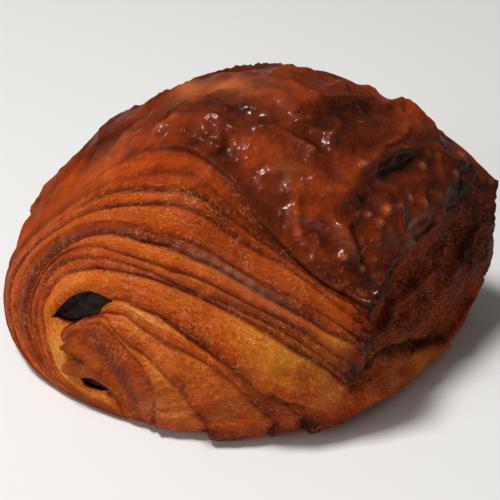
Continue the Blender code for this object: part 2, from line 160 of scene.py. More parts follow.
# per layer, against place along the wrap: how far its lip stands out (mm), how brown its
# body is, how much browner its lip is, how glossy it is
LAYER_LOOK = [
    ({0: 0, 0.22: 0, 0.32: 0.6, 1: 0.8}, {0: 0.2, 0.3: 0.35, 0.6: 0.42, 1: 0.45},
     {0: 0, 0.3: 0.1, 1: 0.15}, {0: 0.2, 1: 0.2}),
    ({0: 0, 0.22: 0, 0.3: 0.9, 1: 1.2}, {0: 0.3, 0.3: 0.42, 0.6: 0.5, 1: 0.35},
     {0: 0, 0.3: 0.2, 0.7: 0.3, 1: 0.3}, {0: 0.2, 0.5: 0.45, 1: 0.3}),
    ({0: 0, 0.22: 0, 0.5: 0.5, 0.7: 1.1, 1: 1.1}, {0: 0.3, 0.5: 0.32, 0.8: 0.18, 1: 0.25},
     {0: 0, 0.4: 0.1, 1: 0.35}, {0: 0.2, 1: 0.2}),
    ({0: 0, 0.22: 0, 0.5: 0.5, 0.75: 1.2, 1: 1.6}, {0: 0.3, 0.6: 0.26, 0.8: 0.32, 1: 0.45},
     {0: 0, 0.6: 0.2, 0.9: 0.4, 1: 0.45}, {0: 0.2, 1: 0.4}),
    ({0: 0, 0.22: 0, 0.5: 0.4, 0.8: 0.9, 1: 1.1}, {0: 0.3, 0.55: 0.22, 0.8: 0.3, 1: 0.5},
     {0: 0, 0.7: 0.15, 0.9: 0.3, 1: 0.35}, {0: 0.2, 1: 0.4}),
    ({0: 0, 0.5: 0, 0.66: 0.8, 1: 1.2},
     {0: 0.2, 0.5: 0.25, 0.62: 0.34, 0.8: 0.32, 0.88: 0.24, 1: 0.5},
     {0: 0, 0.55: 0, 0.68: 0.35, 0.9: 0.5, 1: 0.3}, {0: 0.1, 1: 0.25}),
    ({0: 0.3, 0.4: 0.6, 0.7: 0.9, 1: 0.8}, {0: 0.4, 0.5: 0.42, 0.75: 0.45, 1: 0.55},
     {0: 0.1, 0.5: 0.12, 0.75: 0.35, 1: 0.35}, {0: 0.2, 0.7: 0.35, 1: 0.4}),
    ({0: 0.3, 0.4: 0.7, 0.7: 0.9, 1: 0.8}, {0: 0.42, 0.4: 0.4, 0.7: 0.38, 0.85: 0.6, 1: 0.6},
     {0: 0.1, 0.45: 0.2, 0.6: 0.15, 0.8: 0.2, 1: 0.3}, {0: 0.2, 1: 0.4}),
    ({0: 0.3, 0.4: 0.8, 0.7: 0.9, 1: 0.8}, {0: 0.4, 0.4: 0.35, 0.5: 0.24, 0.75: 0.26, 1: 0.4},
     {0: 0.1, 0.4: 0.3, 0.6: 0.15, 0.78: 0.3, 0.88: 0.5, 1: 0.3},
     {0: 0.2, 0.75: 0.2, 0.86: 0.6, 1: 0.4}),
    ({0: 0.4, 0.4: 0.9, 0.7: 1.2, 1: 1},
     {0: 0.5, 0.3: 0.6, 0.5: 0.62, 0.7: 0.6, 0.9: 0.68, 1: 0.6},
     {0: 0, 0.4: 0.05, 0.6: 0.12, 0.9: 0.2, 1: 0.1}, {0: 0.3, 0.5: 0.5, 0.7: 0.9, 1: 0.6}),
    ({0: 0.4, 0.5: 0.6, 1: 0.7}, {0: 0.4, 0.4: 0.3, 0.6: 0.34, 0.8: 0.42, 1: 0.42},
     {0: 0.1, 1: 0.12}, {0: 0.2, 1: 0.3}),
    ({0: 0.4, 0.5: 0.7, 0.8: 0.8, 1: 0.7},
     {0: 0.45, 0.4: 0.34, 0.5: 0.42, 0.6: 0.4, 0.7: 0.5, 1: 0.35},
     {0: 0.1, 0.5: 0.25, 0.7: 0.2, 1: 0.1}, {0: 0.2, 0.6: 0.4, 1: 0.3}),
    ({0: 0.4, 0.5: 0.7, 0.8: 0.7, 1: 0.6},
     {0: 0.5, 0.3: 0.36, 0.42: 0.36, 0.5: 0.54, 0.6: 0.48, 0.78: 0.54, 1: 0.5},
     {0: 0.1, 0.5: 0.2, 1: 0.15}, {0: 0.2, 0.6: 0.6, 1: 0.4}),
    ({0: 0.4, 0.5: 0.6, 1: 0.6},
     {0: 0.58, 0.4: 0.56, 0.5: 0.5, 0.64: 0.46, 0.74: 0.5, 0.82: 0.6, 1: 0.6}, {0: 0.05, 1: 0.1},
     {0: 0.2, 0.6: 0.5, 1: 0.5}),
]
# cracks between the layers: depth and width (mm)
GROOVE, GROOVE_WIDTH = 0.55, 0.4
# lips of the layers: run of their rise (mm), gain on the table, reach of their brown (mm),
# and the most that one stands out, as a share of its layer's width
LIP_RISE, LIP_GAIN, LIP_BROWN, LIP_SHARE = 0.5, 1.25, 1.8, 0.36
LEAST_WIDE = 0.2          # width (mm) that even a pinched layer is taken to have
# layers counted from the heart: covered by the tongue, part of the tongue's folds, and
# the last one that is open from the left on
COVERED_LAYERS, TONGUE_LAYERS, LAST_PLAIN_LAYER = 5, 7, 11
# where along the wrap they come into view: start and run, as shares of it
COVERED_SHOWS, PLAIN_SHOWS, RIM_SHOWS = (0.29, 0.09), (0.04, 0.18), (0.44, 0.1)
# lengths that a share of 0 to 1 stands for (mm), and offsets that keep noises apart
WRAP_LENGTH, SKIN_ACROSS, SKIN_LONG, RIM_DEPTH, SIDE_DEPTH = 95.0, 130.0, 70.0, 50.0, 40.0
LAYER_APART, END_APART = 17.0, 40.0
OUTERMOST = 0.999         # wrap key from which a place belongs to the skin
# blisters: middle of their crowd and its reach (mm), how many are drawn, the least
# height (mm), and the radius (mm) below which a bump of the photograph is one too
FLAP, CROWD_REACH = np.array([43.0, -17.0, 33.0]), 26.0
BLISTER_DRAWS, BLISTERS_ABOVE, SMALL_BUMP = 520, 6.0, 1.3
CORNER_ROUNDS = 45        # rounds that soften the fold where the skin meets the side
FOOT_CENTRE, FOOT_REACH = (0.0, 3.0), (50.0, 42.0)
# noises of the crust: scale in mm, and a shift that keeps one apart from the next
NOISES = {"edge_slow": (9, 24), "edge_fast": (3, 25), "strata": (1, 21), "folds": (17, 1),
          "wrinkles": (9, 2), "swells": (12, 22), "creases": (3.6, 14), "fine": (1.3, 3),
          "small": (2.8, 4), "patchy": (16, 15), "skin_tone": (11, 9), "skin_spots": (5, 26),
          "side_tone": (5, 10), "end_tone": (4, 11), "end_grain": (1.6, 12), "end_red": (7, 13),
          "hem_tone": (5, 16), "right_end": (2.2, 17), "right_tone": (2.6, 18),
          "bar_rough": (1.6, 30), "bar_fine": (0.7, 31), "torn": (1.1, 32)}
# margin to the solids' box, least crust before a baton, and a distance without effect (mm)
BOX_MARGIN, LEAST_COVER, FAR_OFF = 0.02, 1.3, 1e9
# bars: rounding of the ends (mm), points round and rows along, and points round a bore
BAR_EDGE, BAR_AROUND, BAR_LENGTHS, BORE_AROUND = 0.5, 96, 120, 256
# rings of a bar's broken end, and the groove across it: slope, offset, depth, width (mm)
END_RINGS = (0.86, 0.72, 0.58, 0.44, 0.3, 0.16)
END_GROOVE = (1.09, 1.84, 1.2, 0.45)
# cutter of an opening (mm): where it starts, how far before the bar it widens, how far
# past the bar it goes, and its rows
CUT_START, CUT_WIDENS, CUT_PAST, CUT_ROWS = -60.0, 0.3, 12.0, 30
MOST_BAKED = 0.66         # browner places of the cut ends are held back
# colours of the crust by bake and painted shade, 0 to 1, and of its pale grains and painted sheen
BAKED_COLOURS = [(0.0, (208, 136, 64)), (0.2, (187, 98, 35)), (0.4, (167, 73, 24)),
                 (0.56, (141, 57, 19)), (0.72, (100, 41, 17)), (0.88, (60, 26, 14)),
                 (1.0, (33, 17, 12))]
PALE_COLOUR = (222, 160, 108)
# textures of the crust: waves or cells per metre
GRAINS, BLOTS, CLUSTERS, CRINKLES, CRUMBS, DOTS = 900.0, 260.0, 330.0, 210.0, 1400.0, 520.0
# textures along the layers: waves per mm along and across them
FIBRES, FINE, FIELDS = (0.9, 1.9), (1.3, 2.7), (0.12, 0.55)

# the crust's mesh: columns along the wrap, rows of each layer by its width (mm) with the
# least and the most, and rows along the skin
COLUMNS, LENGTHS = 248, 96
ROW_STEP, LAYER_ROWS = 0.43, (5, 17)

# the photograph's camera
AZIMUTH, ELEVATION, DISTANCE = 28.0, 33.0, 330.0
AIM = (5.0, 0.0, 25.0)
FOCAL_PX, FRAME_PX = 1450.0, 500.0
SENSOR = 36.0
PX_PER_MM = 4.5


def blend(t):
    """0 below 0, 1 above 1, and a smooth rise between."""
    t = np.clip(t, 0.0, 1.0)
    return t*t*(3.0-2.0*t)


def curve(points, at):
    """Points at shares of the length of a centripetal Catmull-Rom curve."""
    p = np.array(points, float)
    p = np.vstack([2*p[0]-p[1], p, 2*p[-1]-p[-2]])
    out = []
    for i in range(1, len(p)-2):
        a, b, c, d = p[i-1:i+3]
        gaps = [np.linalg.norm(b-a)**0.5, np.linalg.norm(c-b)**0.5, np.linalg.norm(d-c)**0.5]
        k = np.concatenate([[0.0], np.cumsum(gaps)])
        t = np.linspace(k[1], k[2], 24, endpoint=False)[:, None]

        def mix(u, v, start, end):
            return ((end-t)*u + (t-start)*v)/(end-start)

        low, mid, top = mix(a, b, k[0], k[1]), mix(b, c, k[1], k[2]), mix(c, d, k[2], k[3])
        out.append(mix(mix(low, mid, k[0], k[2]), mix(mid, top, k[1], k[3]), k[1], k[2]))
    out = np.vstack(out + [p[-2][None]])
    run = np.concatenate([[0.0], np.cumsum(np.linalg.norm(np.diff(out, axis=0), axis=1))])
    want = np.asarray(at)*run[-1]
    return np.stack([np.interp(want, run, out[:, k]) for k in range(out.shape[1])], -1)


def through(table, at):
    """Smooth curve through the values of a table, without overshoot.

    With values per column, `at` has one row of queries for each result row."""
    keys = sorted(table)
    x, y = np.array(keys, float), np.array([table[k] for k in keys], float)
    q = np.asarray(at, float)
    wide = (-1,) + (1,)*(y.ndim-1)
    h = np.diff(x).reshape(wide)
    d = np.diff(y, axis=0)/h
    m = np.zeros_like(y)
    m[0], m[-1] = d[0], d[-1]
    before, after = d[:-1], d[1:]
    w1, w2 = 2*h[1:]+h[:-1], h[1:]+2*h[:-1]
    rising = before*after > 0
    safe_before, safe_after = np.where(rising, before, 1.0), np.where(rising, after, 1.0)
    m[1:-1] = np.where(rising, (w1+w2)/(w1/safe_before+w2/safe_after), 0.0)
    i = np.clip(np.searchsorted(x, q, side="right")-1, 0, len(x)-2)
    t = (q-x[i])/np.diff(x)[i]
    step = np.diff(x)[i]
    if q.ndim == 2:
        column = np.arange(q.shape[1])[None, :]
        y0, y1, m0, m1 = y[i, column], y[i+1, column], m[i, column], m[i+1, column]
        t, step = t[..., None], step[..., None]
    else:
        y0, y1, m0, m1 = y[i], y[i+1], m[i], m[i+1]
        t, step = t.reshape(wide), step.reshape(wide)
    return ((1+2*t)*(1-t)**2*y0 + t*(1-t)**2*step*m0
            + t*t*(3-2*t)*y1 + t*t*(t-1)*step*m1)


def shares(s, corners):
    """Where even steps of a wrap fall on its guide, with the guide's corners kept."""
    return np.interp(s, [0.0, CORNER_AT, TOP_AT, 1.0], [0.0, corners[0], corners[1], 1.0])


def make_reach():
    """How far the dome reaches from the core, degree by degree."""
    rim = curve(WRAPS[1.0], np.linspace(0.31, 1.0, 200)) - np.array(CORE)
    degrees = np.degrees(np.arctan2(rim[:, 1], rim[:, 0]))
    radius = np.hypot(rim[:, 0], rim[:, 1])
    low = np.arange(-165.0, -8.0, 4.0)
    c, s = np.cos(np.radians(low)), np.sin(np.radians(low))
    side = np.where(c > 0, REACH_RIGHT, REACH_LEFT)
    degrees = np.mod(np.concatenate([degrees, low]), 360.0)
    radius = np.concatenate([radius, 1/np.sqrt((c/side)**2 + (s/REACH_DOWN)**2)])
    order = np.argsort(degrees)
    turn = np.arange(360.0)
    even = np.interp(turn, degrees[order], radius[order], period=360.0)
    span = int(4*DOME_TURN)
    weight = np.exp(-0.5*(np.arange(-span, span+1)/DOME_TURN)**2)
    looped = np.concatenate([even[-span:], even, even[:span]])
    return turn, np.convolve(looped, weight/weight.sum(), "valid")


REACH = make_reach()


def dome(x, z):
    """Swell of an end, 0 at its edge and 1 at the core."""
    dx, dz = x-CORE[0], z-CORE[1]
    reach = np.interp(np.mod(np.degrees(np.arctan2(dz, dx)), 360.0), *REACH, period=360.0)
    p = np.clip(1-(np.hypot(dx, dz)/reach)**2, 0.0, 1.0)
    foot = DOME_SOFT**DOME_POWER
    return ((p+DOME_SOFT)**DOME_POWER-foot)/((1+DOME_SOFT)**DOME_POWER-foot)


def end_flat(s, n):
    """Wraps of the near end in its own plane, for wrap keys n given per column."""
    guides = {k: curve(WRAPS[k], shares(s, CORNERS[k])) for k in WRAPS}
    flat = through(guides, n)
    flat[:, 0] = SEAM
    return flat


def far_flat_of(flat, s, n):
    """The near end's wraps, moved to the outline of the far end."""
    skin_shift = curve(FAR_SKIN, shares(s, SKIN_CORNERS)) - flat[-1]
    side_shift = through(FAR_SIDE, n[:, -1]) - flat[:, -1]
    out = (n**2)[..., None]
    late = (np.clip((s-0.6)/0.4, 0, 1)**2)[None, :, None]
    moved = flat + skin_shift[None]*out
    moved = moved + (side_shift[:, None]-skin_shift[None, -1:]*out)*late
    moved[:, 0] = SEAM
    moved[..., 1] = np.maximum(moved[..., 1], 0.5)
    return moved


def field(points, scale, shift=0.0):
    """Noise at each point, -1 to 1."""
    start = SEED_SHIFT + Vector((shift, 2*shift, -shift))
    return np.array([noise.noise(Vector(p)/scale + start) for p in points])


def noisy(points, name):
    """The named noise at each point, -1 to 1."""
    return field(points, *NOISES[name])


def puffed(rows, v):
    """Skin points moved by the slow bumps, as in the solid."""
    hold = np.clip((rows[:, 2]-4.0)/16.0, 0, 1)*math.sin(math.pi*v)
    out = np.stack([rows[:, 0]+2.0, np.zeros(len(rows)), rows[:, 2]-26.0], -1)
    out /= np.linalg.norm(out, axis=1, keepdims=True)
    return rows + out*(PUFF*hold*field(rows, PUFF_LENGTH))[:, None]


def zipper(left, right, points):
    """Triangles between two chains of vertex numbers that start and end together."""
    def run(chain):
        gaps = [np.linalg.norm(points[b]-points[a]) for a, b in zip(chain, chain[1:])]
        total = np.concatenate([[0.0], np.cumsum(gaps)])
        return total/total[-1]

    a, b = run(left), run(right)
    i, j, faces = 0, 0, []
    while i < len(left)-1 or j < len(right)-1:
        go_left = j == len(right)-1 or (i < len(left)-1 and a[i+1] <= b[j+1])
        if go_left:
            face = (left[i], left[i+1], right[j])
            i += 1
        else:
            face = (left[i], right[j+1], right[j])
            j += 1
        if len(set(face)) == 3:
            faces.append(face)
    return faces


class Crust:
    """The pastry's closed mesh, with what each vertex is: end, layer, place."""

    def __init__(self):
        s = np.linspace(0, 1, COLUMNS+1)
        edges = np.array([through(e, s) for e in LAYER_EDGES])
        for k in range(1, len(edges)-1):
            places = np.stack([s*SKIN_ACROSS, np.full(len(s), 23.0*k), 0*s], -1)
            edges[k] += (0.006*noisy(places, "edge_slow")+0.003*noisy(places, "edge_fast"))*(s > 0.2)
        for k in range(1, len(edges)):
            edges[k] = np.maximum(edges[k], edges[k-1]+0.003)
        edges = np.minimum(edges, 1.0)
        at_edges = end_flat(s, edges)
        wide = np.linalg.norm(np.diff(at_edges, axis=0), axis=-1)
        layer, share = [], []
        for k in range(len(edges)-1):
            steps = int(np.clip(round(np.percentile(wide[k], 70)/ROW_STEP), *LAYER_ROWS))
            t = np.linspace(0, 1, steps+1)[:-1]
            t = 0.55*t + 0.45*t**1.6
            layer += [k]*len(t)
            share += list(t)
        layer.append(len(edges)-2)
        share.append(1.0)
        layer, share = np.array(layer), np.array(share)
        n = edges[layer]*(1-share[:, None]) + edges[layer+1]*share[:, None]
        flat = end_flat(s, n)
        swell = dome(flat[..., 0], flat[..., 1])
        near = np.stack([flat[..., 0], -(NEAR_RIM+NEAR_BULGE*swell), flat[..., 1]], -1)
        moved = far_flat_of(flat, s, n)
        far = np.stack([moved[..., 0], FAR_RIM+FAR_BULGE*swell, moved[..., 1]], -1)
        self.s, self.n, self.layer, self.share, self.wide = s, n, layer, share, wide
        last, outer = len(s)-1, len(n)-1
        self.ring = [(outer, i) for i in range(1, last+1)]
        self.ring += [(j, last) for j in range(outer-1, -1, -1)] + [(0, 0)]
        self.points, self.faces, self.facts = [], [], []
        near_ring = self.add_end(near, False, 0)
        far_ring = self.add_end(far, True, 1)
        rings = [near_ring]
        at_near = np.array([near[j, i] for j, i in self.ring])
        at_far = np.array([far[j, i] for j, i in self.ring])
        top = curve(MID_SKIN, shares(s[1:], SKIN_CORNERS))
        side = through(MID_SIDE, n[:-1, -1][::-1])
        mid = np.vstack([top, side, [(SEAM[0], 0.0)]])
        half = (at_near[:, [0, 2]]+at_far[:, [0, 2]])/2
        spread = np.linspace(0, 1, LENGTHS+2)[1:-1]
        for v in spread - 0.06*np.sin(2*np.pi*spread):
            row = at_near*(1-v)+at_far*v
            row[:, [0, 2]] += (4*v*(1-v))**SHOULDER*(mid-half)
            row = puffed(row, v)
            row[:, 2] = np.maximum(row[:, 2], 0.0)
            rings.append(list(range(len(self.points), len(self.points)+len(row))))
            self.points.extend(row)
            self.facts.extend((2, s[i], n[j, i], -1, 0.0, 1.0, v) for j, i in self.ring)
        rings.append(far_ring)
        for a, b in zip(rings, rings[1:]):
            for k in range(len(a)):
                q = (k+1) % len(a)
                self.faces.append((a[k], a[q], b[q], b[k]))
        self.points = np.array(self.points)
        facts = np.array(self.facts)
        self.part, self.s_at, self.n_at = facts[:, 0].astype(int), facts[:, 1], facts[:, 2]
        self.layer_at, self.share_at = facts[:, 3].astype(int), facts[:, 4]
        self.wide_at, self.v_at = facts[:, 5], facts[:, 6]
        # which places are ends, top skin or side, and how far from their edges (mm)
        s, n, v = self.s_at, self.n_at, self.v_at
        self.on_end = self.part < 2
        self.skin = ~self.on_end
        self.side = self.skin & (n < OUTERMOST)
        self.top = self.skin & ~self.side
        self.from_rim, self.over = np.minimum(v, 1-v)*SKIN_LONG, (1-s)*SKIN_ACROSS
        # how much the skin stands over the layers and over the side
        self.lip = blend((s-0.49)/0.07)*np.where(v > 0.5, 0.25, 1.0)
        self.hem_side = blend((0.45-v)/0.3)

    def add_end(self, block, turned, part):
        """Adds one cut end and returns the vertices round its edge."""
        outer, last = block.shape[0]-1, block.shape[1]-1
        index = np.zeros(block.shape[:2], int)
        self.points.append(block[0, 0])
        self.facts.append((part, 0.0, 0.0, 0, 0.0, 1.0, float(turned)))
        index[:, 0] = len(self.points)-1
        for j in range(outer+1):
            k = self.layer[j]
            for i in range(1, last+1):
                index[j, i] = len(self.points)
                self.points.append(block[j, i])
                self.facts.append((part, self.s[i], self.n[j, i], k, self.share[j],
                                   self.wide[k, i], float(turned)))
        made = []
        for j in range(outer):
            made.append((index[j, 0], index[j, 1], index[j+1, 1]))
            for i in range(1, last):
                made.append((index[j, i], index[j, i+1], index[j+1, i+1], index[j+1, i]))
        tip = int(round(CORNER_AT*last))
        left = [index[0, i] for i in range(0, tip+1)]
        right = [index[0, 0]] + [index[0, i] for i in range(last, tip-1, -1)]
        made += [tuple(reversed(f)) for f in zipper(left, right, self.points)]
        self.faces.extend(tuple(reversed(f)) if turned else f for f in made)
        return [index[j, i] for j, i in self.ring]

    def triangles(self):
        """The faces cut into triangles."""
        out = []
        for f in self.faces:
            out += [(f[0], f[k], f[k+1]) for k in range(1, len(f)-1)]
        return np.array(out)

    def normals(self, points):
        """Direction out of the surface at each vertex."""
        tri = self.triangles()
        a, b, c = points[tri[:, 0]], points[tri[:, 1]], points[tri[:, 2]]
        cross = np.cross(b-a, c-a)
        out = np.zeros_like(points)
        for k in range(3):
            np.add.at(out, tri[:, k], cross)
        return out/np.maximum(np.linalg.norm(out, axis=1, keepdims=True), 1e-9)


def camera_rays():
    """Camera place and axes in the modelling frame, in millimetres."""
    a, e = math.radians(AZIMUTH), math.radians(ELEVATION)
    right = np.array([math.cos(a), math.sin(a), 0.0])
    ahead = np.array([-math.sin(a)*math.cos(e), math.cos(a)*math.cos(e), -math.sin(e)])
    return np.array(AIM)-ahead*DISTANCE, right, ahead, np.cross(right, ahead)


class Surface:
    """The first point of the base form behind a place in the photograph."""

    def __init__(self, points, triangles):
        self.tree = BVHTree.FromPolygons([Vector(p) for p in points],
                                         [tuple(int(k) for k in f) for f in triangles])
        self.at, self.right, self.ahead, self.up = camera_rays()

    def hit(self, px):
        u, v = (px[0]-FRAME_PX/2)/FOCAL_PX, (px[1]-FRAME_PX/2)/FOCAL_PX
        ray = self.ahead + u*self.right - v*self.up
        spot = self.tree.ray_cast(Vector(self.at), Vector(ray))[0]
        return None if spot is None else np.array(spot)

    def line(self, px):
        """Surface points along a smooth line through places in the photograph."""
        fine = curve([(x, y) for x, y in px], np.linspace(0, 1, 4*len(px)+1))
        hits = [self.hit(p) for p in fine]
        return np.array([h for h in hits if h is not None])


def from_line(points, line):
    """Distance of each point from a line, and how far along it, 0 to 1."""
    best = np.full(len(points), 1e9)
    along = np.zeros(len(points))
    low, high = line.min(0)-12, line.max(0)+12
    near = np.where(np.all((points > low) & (points < high), axis=1))[0]
    p = points[near]
    count = len(line)-1
    for k in range(count):
        a, ab = line[k], line[k+1]-line[k]
        t = np.clip((p-a) @ ab/max(ab @ ab, 1e-9), 0, 1)
        d = np.linalg.norm(p-a-t[:, None]*ab, axis=1)
        closer = d < best[near]
        hit = near[closer]
        best[hit] = d[closer]
        along[hit] = (k+t[closer])/count
    return best, along


# lines of the skin in the photograph: (places, half width mm, height mm, bake)
# the bake of these lines paints light onto the ridges and shade into the valleys and the ledge's
# crack
SKIN_LINES = [
    ([(284, 212), (300, 216), (315, 220), (327, 229)], 1.4, 1.5, -0.06),
    ([(331, 220), (344, 234), (353, 247), (360, 264)], 1.4, 1.7, -0.06),
    ([(419, 156), (405, 162), (384, 172), (372, 185), (365, 200), (358, 215), (358, 240),
      (362, 262)], 2.4, -1.7, 0.14),
    ([(247, 130), (265, 129), (280, 133), (303, 148), (320, 158), (335, 160)], 1.3, 1.2, -0.02),
    ([(325, 165), (330, 185), (335, 200), (347, 214)], 2, -0.9, 0.08),
    ([(310, 118), (335, 112), (360, 106), (385, 108), (400, 115)], 2.6, -1.6, 0.14),
    ([(300, 108), (315, 101), (330, 100), (350, 97), (370, 97)], 1.6, 1.1, 0),
    ([(337, 112), (338, 127), (331, 140), (338, 152)], 1.5, 1.3, -0.02),
    ([(286, 127), (296, 123), (308, 124)], 1.2, 0.8, 0),
    ([(300, 141), (309, 150), (313, 163)], 1.2, 0.7, 0),
    ([(363, 168), (377, 160), (392, 154), (407, 150), (418, 151), (420, 159)], 1.4, 1.2, -0.02),
    ([(382, 106), (398, 105), (414, 112), (427, 120), (437, 135)], 1.5, 1.2, 0),
    ([(437, 135), (431, 145), (417, 149)], 1.5, 0.9, 0),
    ([(133, 107), (142, 101), (152, 96)], 1.2, 0.7, -0.05),
    ([(160, 112), (175, 112), (190, 109), (210, 107)], 1.3, 0.8, -0.05),
    ([(215, 98), (230, 95), (243, 95), (252, 86)], 1.3, 0.8, -0.04),
    ([(240, 103), (252, 108), (266, 113), (272, 120)], 1.2, 0.9, -0.02),
    ([(205, 118), (216, 119), (228, 126), (236, 135)], 1.3, 0.9, -0.02),
    ([(175, 130), (190, 137), (206, 140), (222, 150)], 1.5, -0.8, 0.06),
    ([(120, 128), (132, 138), (146, 140)], 1.3, 0.8, -0.03),
    ([(98, 150), (112, 142), (126, 141)], 1.3, 0.7, 0),
    ([(262, 78), (280, 72), (300, 78), (315, 84)], 1.6, 0.8, 0),
    ([(322, 90), (345, 84), (365, 92)], 1.5, 0.8, 0),
    ([(440, 150), (455, 160), (470, 165), (482, 176)], 1.4, 0.8, 0.02),
    ([(405, 185), (422, 180), (440, 182), (455, 190)], 1.3, 0.6, 0.02),
    ([(352, 388), (361, 376), (372, 361), (388, 350), (402, 346), (418, 344), (432, 341),
      (447, 334), (459, 322), (469, 302)], 1.1, -1.8, 0.4),
    ([(360, 391), (372, 374), (386, 360), (404, 354), (429, 350), (448, 343)], 2, 1.2, -0.08),
    ([(398, 338), (412, 325), (432, 318), (450, 305)], 1.8, 0.9, 0.05),
    ([(362, 384), (376, 372), (392, 363), (410, 358), (432, 349), (446, 340)], 1.2, 0.7, -0.06),
    ([(366, 391), (380, 383), (396, 376), (412, 369), (428, 360)], 0.8, -0.5, 0.08),
    ([(357, 399), (372, 393), (388, 389), (400, 386)], 0.8, -0.5, 0.1),
    ([(360, 402), (378, 395), (396, 391), (412, 383)], 1, 0.5, -0.06),
    ([(405, 300), (415, 286), (430, 272), (440, 258)], 1.4, 0.7, -0.05),
    ([(395, 325), (405, 308), (418, 298), (436, 290)], 1, -0.7, 0.1),
    ([(455, 290), (463, 272), (468, 255), (478, 240)], 1, -0.8, 0.12),
    ([(372, 330), (382, 318), (386, 300), (384, 285)], 1.2, -0.5, 0.06),
    ([(440, 300), (450, 280), (462, 262), (472, 240)], 1.8, 0.8, 0.08),
    ([(365, 345), (380, 330), (390, 312), (402, 300)], 1.8, 0.6, 0.05),
]
# bumps of the skin in the photograph: (place, radius mm, height mm, bake)
# the bake of these bumps paints light onto the larger swells and shade into the two sunken pockets;
# the small ones are pale blisters
SKIN_BUMPS = [
    (352, 185, 4.5, 1.1, -0.04), (392, 205, 7.5, 1.5, -0.02), (290, 175, 9.5, 1.3, -0.12),
    (255, 150, 5, 0.7, -0.06), (320, 190, 5, 0.8, -0.03), (300, 95, 6, 0.8, 0),
    (409, 162, 2.6, -0.9, 0.12), (428, 139, 2.2, -0.9, 0.12), (384, 211, 1.1, 0.5, -0.25),
    (379, 223, 0.9, 0.6, -0.1), (409, 199, 1.1, 0.6, -0.1), (424, 204, 1, 0.5, -0.1),
    (344, 258, 0.9, 0.6, -0.05), (364, 269, 0.8, 0.5, -0.1), (457, 174, 1, 0.6, -0.08),
    (462, 155, 1, 0.6, -0.05), (362, 165, 1.1, 0.5, 0), (368, 215, 0.8, 0.4, 0),
    (425, 164, 0.9, 0.5, 0), (270, 128, 3, 0.4, 0.05), (230, 105, 4, 0.7, 0),
    (190, 120, 5, 0.6, 0), (340, 205, 3, 0.6, 0),
]
# patches of colour in the photograph: (place, radius mm, bake, red)
PATCHES = [
    (60, 230, 5, 0.1, 0), (20, 320, 5, 0.08, 0), (250, 85, 7, -0.08, 0), (110, 150, 7, -0.06, 0),
    (170, 165, 5, 0.1, 0), (350, 250, 6, -0.1, 0), (60, 385, 6, -0.2, 0), (30, 345, 6, -0.08, 0),
    (220, 345, 8, 0.05, 0.1), (340, 390, 5, -0.08, 0), (345, 318, 5, -0.06, 0),
    (190, 90, 5, -0.16, -0.7), (225, 84, 4, -0.16, -0.7), (470, 200, 11, 0.12, 0),
    (485, 240, 10, 0.12, 0), (371, 296, 5, 0.16, 0), (362, 270, 5, 0.1, 0),
    (275, 350, 6, -0.08, -0.5), (300, 365, 6, -0.1, -0.6), (325, 375, 4, -0.06, -0.5),
    (345, 400, 5, 0.06, 0.2), (290, 396, 4, 0.06, 0.1), (362, 335, 5, 0.12, 0.1),
    (60, 350, 5, -0.1, -0.4), (250, 325, 6, -0.08, -0.4), (215, 215, 6, 0.08, 0.1),
    (120, 150, 8, -0.04, 0.1), (165, 130, 9, -0.05, 0.1), (105, 175, 7, -0.08, 0.1),
    (60, 200, 8, -0.08, 0), (210, 102, 5, 0.13, 0), (112, 128, 4, 0.1, 0), (95, 150, 4, 0.08, 0),
    (212, 142, 6, 0.12, 0), (250, 108, 4, 0.08, 0), (330, 125, 5, 0.12, 0),
    (420, 362, 5, -0.28, 0.1), (445, 345, 5, -0.14, 0), (392, 376, 3.5, -0.3, 0),
    (375, 392, 4, -0.16, 0.1), (300, 384, 4.5, 0.14, 0.1), (338, 390, 4.2, -0.36, 0),
    (332, 336, 4, -0.14, 0), (296, 409, 4, -0.14, 0.2), (345, 405, 3, -0.2, 0.1),
    (335, 350, 4, -0.1, 0), (348, 366, 3, -0.12, 0), (70, 378.5, 0.45, 0.9, 0),
    (108.5, 395, 0.5, 0.9, 0), (109.5, 391.5, 0.35, 0.7, 0), (345, 342, 4.5, -0.16, -0.2),
    (351, 379, 3, 0.2, 0), (358, 364, 3, 0.1, 0), (140, 315, 3, -0.1, -0.2),
    (165, 368, 4, -0.08, -0.3), (235, 395, 4, -0.06, 0), (200, 273, 3.5, -0.1, 0),
    (160, 263, 3.5, -0.1, 0), (240, 281, 3, -0.08, 0), (362, 300, 3.5, -0.1, 0.2),
    (95, 395, 2.5, -0.08, -0.2), (240, 280, 4, 0.05, -0.1),
]
# greyish sheen: (place, radius mm, share)
SHEEN = [
    (250, 85, 7, 0.05), (110, 150, 8, 0.05), (400, 375, 6, 0.08), (425, 358, 6, 0.08),
    (375, 395, 5, 0.06), (190, 250, 0.8, 0.1), (203, 255, 0.8, 0.14), (215, 261, 0.9, 0.16),
    (227, 269, 0.9, 0.18), (238, 276, 1, 0.2), (249, 284, 1, 0.2), (261, 293, 0.9, 0.16),
    (274, 301, 0.9, 0.12), (190, 90, 4.5, 0.12), (225, 84, 4, 0.12), (288, 173, 3, 0.05),
    (170, 196, 1.5, 0.1), (190, 203, 1.5, 0.12), (125, 305.5, 0.8, 0.16), (138, 311, 0.8, 0.16),
    (152, 319, 0.8, 0.16), (166, 328, 0.8, 0.12), (177, 246, 0.9, 0.1), (165, 412, 4, 0.1),
    (148, 405, 3, 0.08),
]
